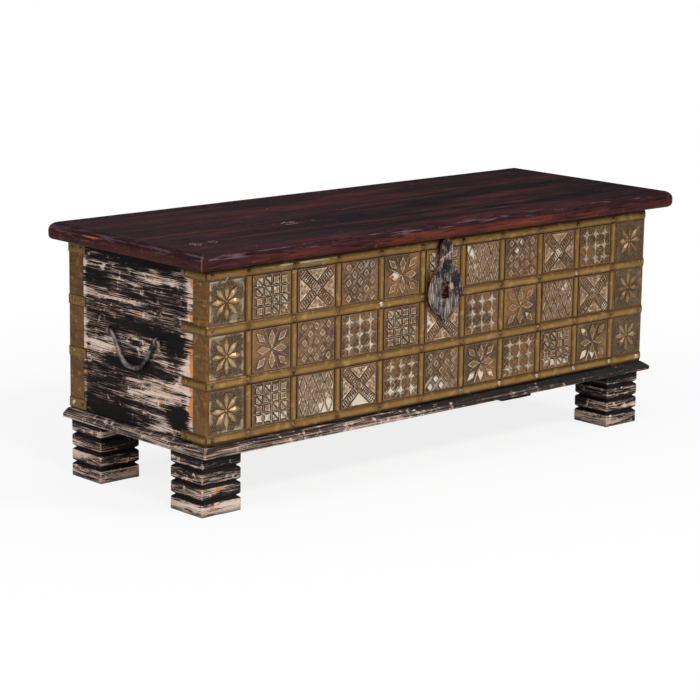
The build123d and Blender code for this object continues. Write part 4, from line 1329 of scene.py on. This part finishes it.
class CHEST_OT_bands(Operator):
    """Four crowned brass bands, bent round the front corners"""

    bl_idname = "chest.bands"
    bl_label = "Bands"

    def execute(self, context):
        s = context.scene.chest_brass
        for n, row in enumerate(ROWS):
            outline = [(-end_x - out, band_end_y, band_z[n] + across) for out,
                       across in crown_profile(band_width, band_proud)]
            left_corner = (-end_x, front_y, band_z[n])
            right_corner = (end_x, front_y, band_z[n])
            moves = [(0, front_y - band_end_y, 0), (left_corner, (0, 0, 1), QUARTER),
                     (2 * end_x, 0, 0), (right_corner, (0, 0, 1), QUARTER),
                     (0, band_end_y - front_y, 0)]
            obj = rod(outline, moves)
            slices(obj, 0, bead_pitch / 8)
            nails = [Vector((x, band_face_y, band_z[n])) for x in bead_x]
            nail_dimples(obj, nails, 7 * MM, 0.7 * MM)
            roughen(obj, 0.03, s.wobble)
            settle(obj, "brass_band_" + row, "band_brass", "chest", ["band_" + row], 35)
        return {"FINISHED"}


class CHEST_OT_beads(Operator):
    """Upright half-round beads between the bands"""

    bl_idname = "chest.beads"
    bl_label = "Beads"

    def execute(self, context):
        s = context.scene.chest_brass
        for row in range(TILE_ROWS):
            low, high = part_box("beads_row_%d" % (row + 1))
            width = high.x - low.x - (bead_x[-1] - bead_x[0])
            rise = high.y - low.y
            outline = [(width / 2 * math.cos(angle), high.y - rise * math.sin(angle), low.z)
                       for angle in [math.pi * n / 10 for n in range(11)]]
            master = rod(outline, [(0, 0, high.z - low.z)])
            slices(master, 2, 9 * MM)
            beads = [duplicate(master, Matrix.Translation((x, 0, 0))) for x in bead_x]
            discard(master)
            obj = joined(beads)
            roughen(obj, 0.025, s.wobble * 1.3)
            settle(obj, "brass_beads_row_%d" % (row + 1), "band_brass", "chest",
                   ["beads_row_%d" % (row + 1)], 50)
        return {"FINISHED"}


def nail_head(radius, dome):
    """A domed nail head about the origin, pointing along +Z."""
    deselect()
    bpy.ops.mesh.primitive_circle_add(vertices=14, radius=radius, fill_type="NGON")
    obj = bpy.context.object
    edit(obj)
    for width, rise in ((0.10, 0.45), (0.25, 0.32), (0.32, 0.19), (0.2, 0.04)):
        inset(radius * width, dome * rise)
    leave()
    return obj


def islands(node):
    """The low and high corner of each separate solid of a construction piece."""
    edit(copy_of(node))
    bpy.ops.mesh.separate(type="LOOSE")
    leave()
    found = []
    for part in list(bpy.context.selected_objects):
        corners = [vertex.co for vertex in part.data.vertices]
        low = Vector([min(c[axis] for c in corners) for axis in range(3)])
        high = Vector([max(c[axis] for c in corners) for axis in range(3)])
        found.append((low, high))
        bpy.data.objects.remove(part)
    return sorted(found, key=lambda pair: tuple(round(value, 5) for value in pair[0]))


class CHEST_OT_nails(Operator):
    """Domed nails at every crossing"""

    bl_idname = "chest.nails"
    bl_label = "Nails"

    def execute(self, context):
        s = context.scene.chest_brass
        master = nail_head(s.nail_radius, s.nail_dome)
        front = Matrix.Rotation(QUARTER, 4, "X")
        sides = {-1: Matrix.Rotation(-QUARTER, 4, "Y"), 1: Matrix.Rotation(QUARTER, 4, "Y")}
        for row in ROWS:
            heads = []
            for low, high in islands("nails_" + row):
                middle = (low + high) / 2
                if low.y < front_y - 3 * MM:
                    place = Vector((middle.x, band_face_y + 0.5 * MM, middle.z))
                    turn = front
                else:
                    side = 1 if middle.x > 0 else -1
                    rim = low.x if side < 0 else high.x
                    place = Vector((rim - side * s.nail_dome, middle.y, middle.z))
                    turn = sides[side]
                heads.append(duplicate(master, Matrix.Translation(place) @ turn))
            settle(joined(heads), "nail_heads_" + row, "nail_brass", "chest",
                   ["nails_" + row], 60)
        discard(master)
        return {"FINISHED"}


def petal_outline(near, wide, far, half):
    """A pointed leaf from near to far, widest at wide."""
    right = [(0, near), (half * 0.72, (near + wide) / 2), (half, wide),
             (half * 0.7, (wide + far) / 2), (0, far)]
    return right + [(-u, v) for u, v in reversed(right[1:-1])]


def star_boss():
    """An embossed star of eight sharp leaves round a small button."""
    s = bpy.context.scene.chest_brass
    leaf = polygon([(u * MM, 0, v * MM) for u, v in petal_outline(3.5, 20, 32, 4.9)])
    extrude((0, -0.3 * s.petal_rise, 0))
    bpy.ops.mesh.poke(offset=0.7 * s.petal_rise, center_mode="MEDIAN_WEIGHTED")
    close_up(leaf)
    parts = scattered(leaf, [(0, 0, turn * 45) for turn in range(8)])
    button = nail_head(2.6 * MM, 1.8 * MM)
    button.data.transform(Matrix.Rotation(QUARTER, 4, "X"))
    return joined(parts + [button])


def bent_sheet(side):
    """A brass sheet bent round a front corner: +1 is the right one."""
    outline = [(sheet_low.x, front_y), (sheet_low.x, sheet_face_y), (sheet_x, sheet_face_y),
               (sheet_x, sheet_edge_y), (end_x, sheet_edge_y), (end_x, front_y)]
    obj = polygon([(side * x, y, sheet_low.z) for x, y in outline])
    extrude((0, 0, sheet_high.z - sheet_low.z))
    close_up(obj)
    modify(obj, "BEVEL", width=0.5 * MM, segments=2, limit_method="ANGLE",
           angle_limit=math.radians(40))
    slices(obj, 2, 12 * MM)
    slices(obj, 0, 14 * MM)
    return obj


def star_panel():
    """A stippled square with a raised line round it and a star in it."""
    s = bpy.context.scene.chest_brass
    half = s.star_square / 2
    plate = block((-half, -0.7 * MM, -half), (half, 0, half))
    edit(plate)
    choose_front(plate)
    inset(1.4 * MM)
    inset(0.3 * MM, -0.45 * MM)
    return joined([star_boss(), plate])


class CHEST_OT_sheets(Operator):
    """Thin brass sheets on the four corners, stars embossed on the front pair"""

    bl_idname = "chest.sheets"
    bl_label = "Corner sheets"

    def execute(self, context):
        s = context.scene.chest_brass
        panel = star_panel()
        for side, sign in zip(SIDES, (-1, 1)):
            sheet = bent_sheet(sign)
            roughen(sheet, 0.03, s.wobble)
            settle(sheet, "corner_sheet_" + side, "sheet_brass", "chest",
                   ["corner_sheet_front_" + side], 35)
            places = [Matrix.Translation((sign * star_x, sheet_face_y, z)) for z in tile_z]
            settle(joined([duplicate(panel, place) for place in places]), "star_panels_" + side,
                   "star_brass", "chest", ["corner_sheet_front_" + side], 9)
        discard(panel)
        paint_nodes(["corner_sheet_back_left", "corner_sheet_back_right"], "sheet_brass")
        for side in SIDES:
            worn_copy("back_bands_" + side, "brass_back_bands_" + side, "band_brass",
                      round_edge=1.0, axis=1, cut=9 * MM, rough=s.wobble, size=0.03)
        return {"FINISHED"}


# ------------------------------------------------------------------ iron
class CHEST_OT_hasp(Operator):
    """The forged hasp, its eye and the staple it drops over"""

    bl_idname = "chest.hasp"
    bl_label = "Hasp and staple"

    def execute(self, context):
        s = context.scene.chest_iron
        worn_copy("hasp", "forged_hasp", "hasp_iron", "hasp", s.plate_bevel / MM, 2,
                  8 * MM, 0.35 * MM, 0.02, 30)
        paint_nodes(["hasp_eye", "staple"], "hasp_iron")
        return {"FINISHED"}


class CHEST_OT_handles(Operator):
    """Two forged bails, thick in the hand and thin at their eyes"""

    bl_idname = "chest.handles"
    bl_label = "Handles"

    def execute(self, context):
        s = context.scene.chest_iron
        for side in SIDES:
            node = "handle_" + side
            low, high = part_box(node)
            x = (low.x + high.x) / 2
            wire_radius = (high.x - low.x) / 2
            top = high.z - wire_radius
            bottom = low.z + s.bail_middle
            end_y = (high.y - low.y) / 2 - wire_radius
            route = [(end_y + 1 * MM, top - 7 * MM), (end_y, top - 1 * MM),
                     (end_y - 6.5 * MM, top + 0.5 * MM), (end_y - 13 * MM, top - 1 * MM),
                     (end_y - 24 * MM, top - 17 * MM), (end_y - 38 * MM, top - 40 * MM),
                     (20 * MM, bottom), (0, bottom)]
            thick = [0.9, 1.0, 1.1, 1.15, 1.35, 1.45, 1.55, 1.6]
            points = [(x, body_mid_y - y, z) for y, z in route]
            points += [(x, body_mid_y + y, z) for y, z in reversed(route[:-1])]
            radii = [s.bail_end * t for t in thick]
            radii += list(reversed(radii[:-1]))
            obj = wire(points, radii)
            roughen(obj, 0.012, 0.3 * MM)
            settle(obj, "bail_" + side, "handle_iron", "handle_" + side, [node], 60)
        paint_nodes(["handle_eyes_left", "handle_eyes_right"], "handle_iron")
        return {"FINISHED"}


class CHEST_OT_hinges(Operator):
    """Strap hinges behind the lid"""

    bl_idname = "chest.hinges"
    bl_label = "Hinges"

    def execute(self, context):
        for side in SIDES:
            worn_copy("hinge_lower_leaf_" + side, "hinge_back_leaf_" + side, "handle_iron",
                      "chest", 0.4)
            worn_copy("hinge_upper_leaf_" + side, "hinge_lid_leaf_" + side, "handle_iron",
                      "lid", 0.4)
            paint_nodes(["hinge_pin_" + side], "handle_iron")
        paint_nodes(["hinge_nails_lower", "hinge_nails_upper"], "handle_iron")
        return {"FINISHED"}


# ------------------------------------------------------------------ studio
# The softboxes: name, place and size. Each one's power is a setting of the same name.
LAMPS = (("key", (1.6, -3.2, 2.8), 0.8), ("left", (-1.4, -3.2, 2.9), 0.6),
         ("side", (-3.6, -0.6, 2.2), 2.2), ("top", (0.2, 0.4, 3.6), 2.4))
LAMP_TARGET = (0, 0, 0.25)
CAMERA_PLACE = (-3.1058, -3.3313, 1.1633)
SENSOR_WIDTH = 36


def softbox(name, place, target, size, power):
    """A square area lamp turned to a point."""
    deselect()
    bpy.ops.object.light_add(type="AREA", location=place)
    lamp = bpy.context.object
    lamp.name = name
    lamp.data.size = size
    lamp.data.energy = power
    aim = Vector(target) - Vector(place)
    lamp.rotation_euler = aim.to_track_quat("-Z", "Y").to_euler()


def pale_floor_finish():
    """A pale floor that takes the chest's shadow and goes white away from it."""
    s = bpy.context.scene.chest_studio
    t = Finish("pale_floor")
    t.shader.inputs["Base Color"].default_value = (*s.floor, 1)
    t.shader.inputs["Roughness"].default_value = 0.95
    t.shader.inputs["Specular IOR Level"].default_value = 0.0
    seen = t.add("LightPath").outputs["Is Camera Ray"]
    glow = t.add("Emission", Strength=1.0).outputs[0]
    fade = t.ramp(t.vector("LENGTH", t.place, result="Value"), 0.5, 1.7, 0.84, 1.0)
    both = t.add("MixShader", _0=t.times(seen, fade), _1=t.shader.outputs[0], _2=glow)
    t.feed(t.tree.nodes["Material Output"].inputs["Surface"], both.outputs[0])
    return t.material


def dark_ring(s):
    """A dim wall round the studio that only shiny surfaces see, so metal keeps its contrast."""
    deselect()
    bpy.ops.mesh.primitive_cylinder_add(vertices=48, radius=6.5, depth=5, end_fill_type="NOTHING",
                                        location=(0, 0, 2.2))
    ring = bpy.context.object
    ring.name = "studio_ring"
    for ray in ("camera", "diffuse", "shadow", "transmission"):
        setattr(ring, "visible_" + ray, False)
    t = Finish("studio_ring")
    t.shader.inputs["Base Color"].default_value = (0, 0, 0, 1)
    t.shader.inputs["Emission Color"].default_value = (1, 1, 1, 1)
    t.shader.inputs["Emission Strength"].default_value = s.ring_glow
    ring.data.materials.append(t.material)


class CHEST_OT_studio(Operator):
    """Floor, soft lamps and the camera"""

    bl_idname = "chest.studio"
    bl_label = "Studio"

    def execute(self, context):
        s = context.scene.chest_studio
        deselect()
        bpy.ops.mesh.primitive_plane_add(size=30)
        floor = context.object
        floor.name = "studio_floor"
        floor.data.materials.append(pale_floor_finish())
        dark_ring(s)
        for name, place, size in LAMPS:
            softbox(name + "_softbox", place, LAMP_TARGET, size, getattr(s, name + "_power"))
        world = bpy.data.worlds.new("studio_world")
        context.scene.world = world
        world.use_nodes = True
        t = Tree(world.node_tree)
        background = world.node_tree.nodes["Background"]
        path = t.add("LightPath")
        seen = t.larger(path.outputs["Is Camera Ray"], path.outputs["Is Glossy Ray"])
        seen = t.larger(seen, path.outputs["Is Transmission Ray"])
        t.feed(background.inputs["Strength"], t.ramp(seen, 0.0, 1.0, s.ambient, 1.0))
        background.inputs["Color"].default_value = (1, 1, 1, 1)
        place_camera(s)
        context.scene.view_settings.view_transform = "Standard"
        return {"FINISHED"}


def place_camera(s):
    """A long lens at the viewing angle."""
    away = Vector((math.sin(s.azimuth) * math.cos(s.elevation),
                   -math.cos(s.azimuth) * math.cos(s.elevation), math.sin(s.elevation)))
    right = Vector((0, 0, 1)).cross(away).normalized()
    up = away.cross(right)
    turned_right = math.cos(s.roll) * right + math.sin(s.roll) * up
    turned_up = math.cos(s.roll) * up - math.sin(s.roll) * right
    matrix = Matrix((turned_right, turned_up, away)).transposed().to_4x4()
    matrix.translation = CAMERA_PLACE
    data = bpy.data.cameras.new("view")
    data.lens = s.lens
    data.sensor_width = SENSOR_WIDTH
    camera = bpy.data.objects.new("view", data)
    bpy.context.scene.collection.objects.link(camera)
    camera.matrix_world = matrix
    bpy.context.scene.camera = camera


STEPS = (CHEST_OT_finishes, CHEST_OT_boards, CHEST_OT_lid, CHEST_OT_base, CHEST_OT_bands,
         CHEST_OT_beads, CHEST_OT_tiles, CHEST_OT_sheets, CHEST_OT_nails, CHEST_OT_hasp,
         CHEST_OT_handles, CHEST_OT_hinges, CHEST_OT_studio)


class CHEST_PT_panel(Panel):
    """Lists the settings and the steps that dress the chest"""

    bl_label = "Chest"
    bl_idname = "CHEST_PT_panel"
    bl_space_type = "VIEW_3D"
    bl_region_type = "UI"
    bl_category = "Chest"

    def draw(self, context):
        for step in STEPS:
            self.layout.operator(step.bl_idname)
        for group in SETTINGS:
            settings = getattr(context.scene, group)
            box = self.layout.box()
            for key in settings.bl_rna.properties.keys():
                if key not in ("rna_type", "name"):
                    box.prop(settings, key)


CLASSES = tuple(SETTINGS.values()) + STEPS + (CHEST_PT_panel,)


def register():
    for cls in CLASSES:
        bpy.utils.register_class(cls)
    for name, cls in SETTINGS.items():
        setattr(bpy.types.Scene, name, PointerProperty(type=cls))


def unregister():
    for name in SETTINGS:
        delattr(bpy.types.Scene, name)
    for cls in reversed(CLASSES):
        bpy.utils.unregister_class(cls)


def main():
    register()
    for step in STEPS:
        area, action = step.bl_idname.split(".")
        getattr(getattr(bpy.ops, area), action)()


if __name__ == "__main__":
    main()
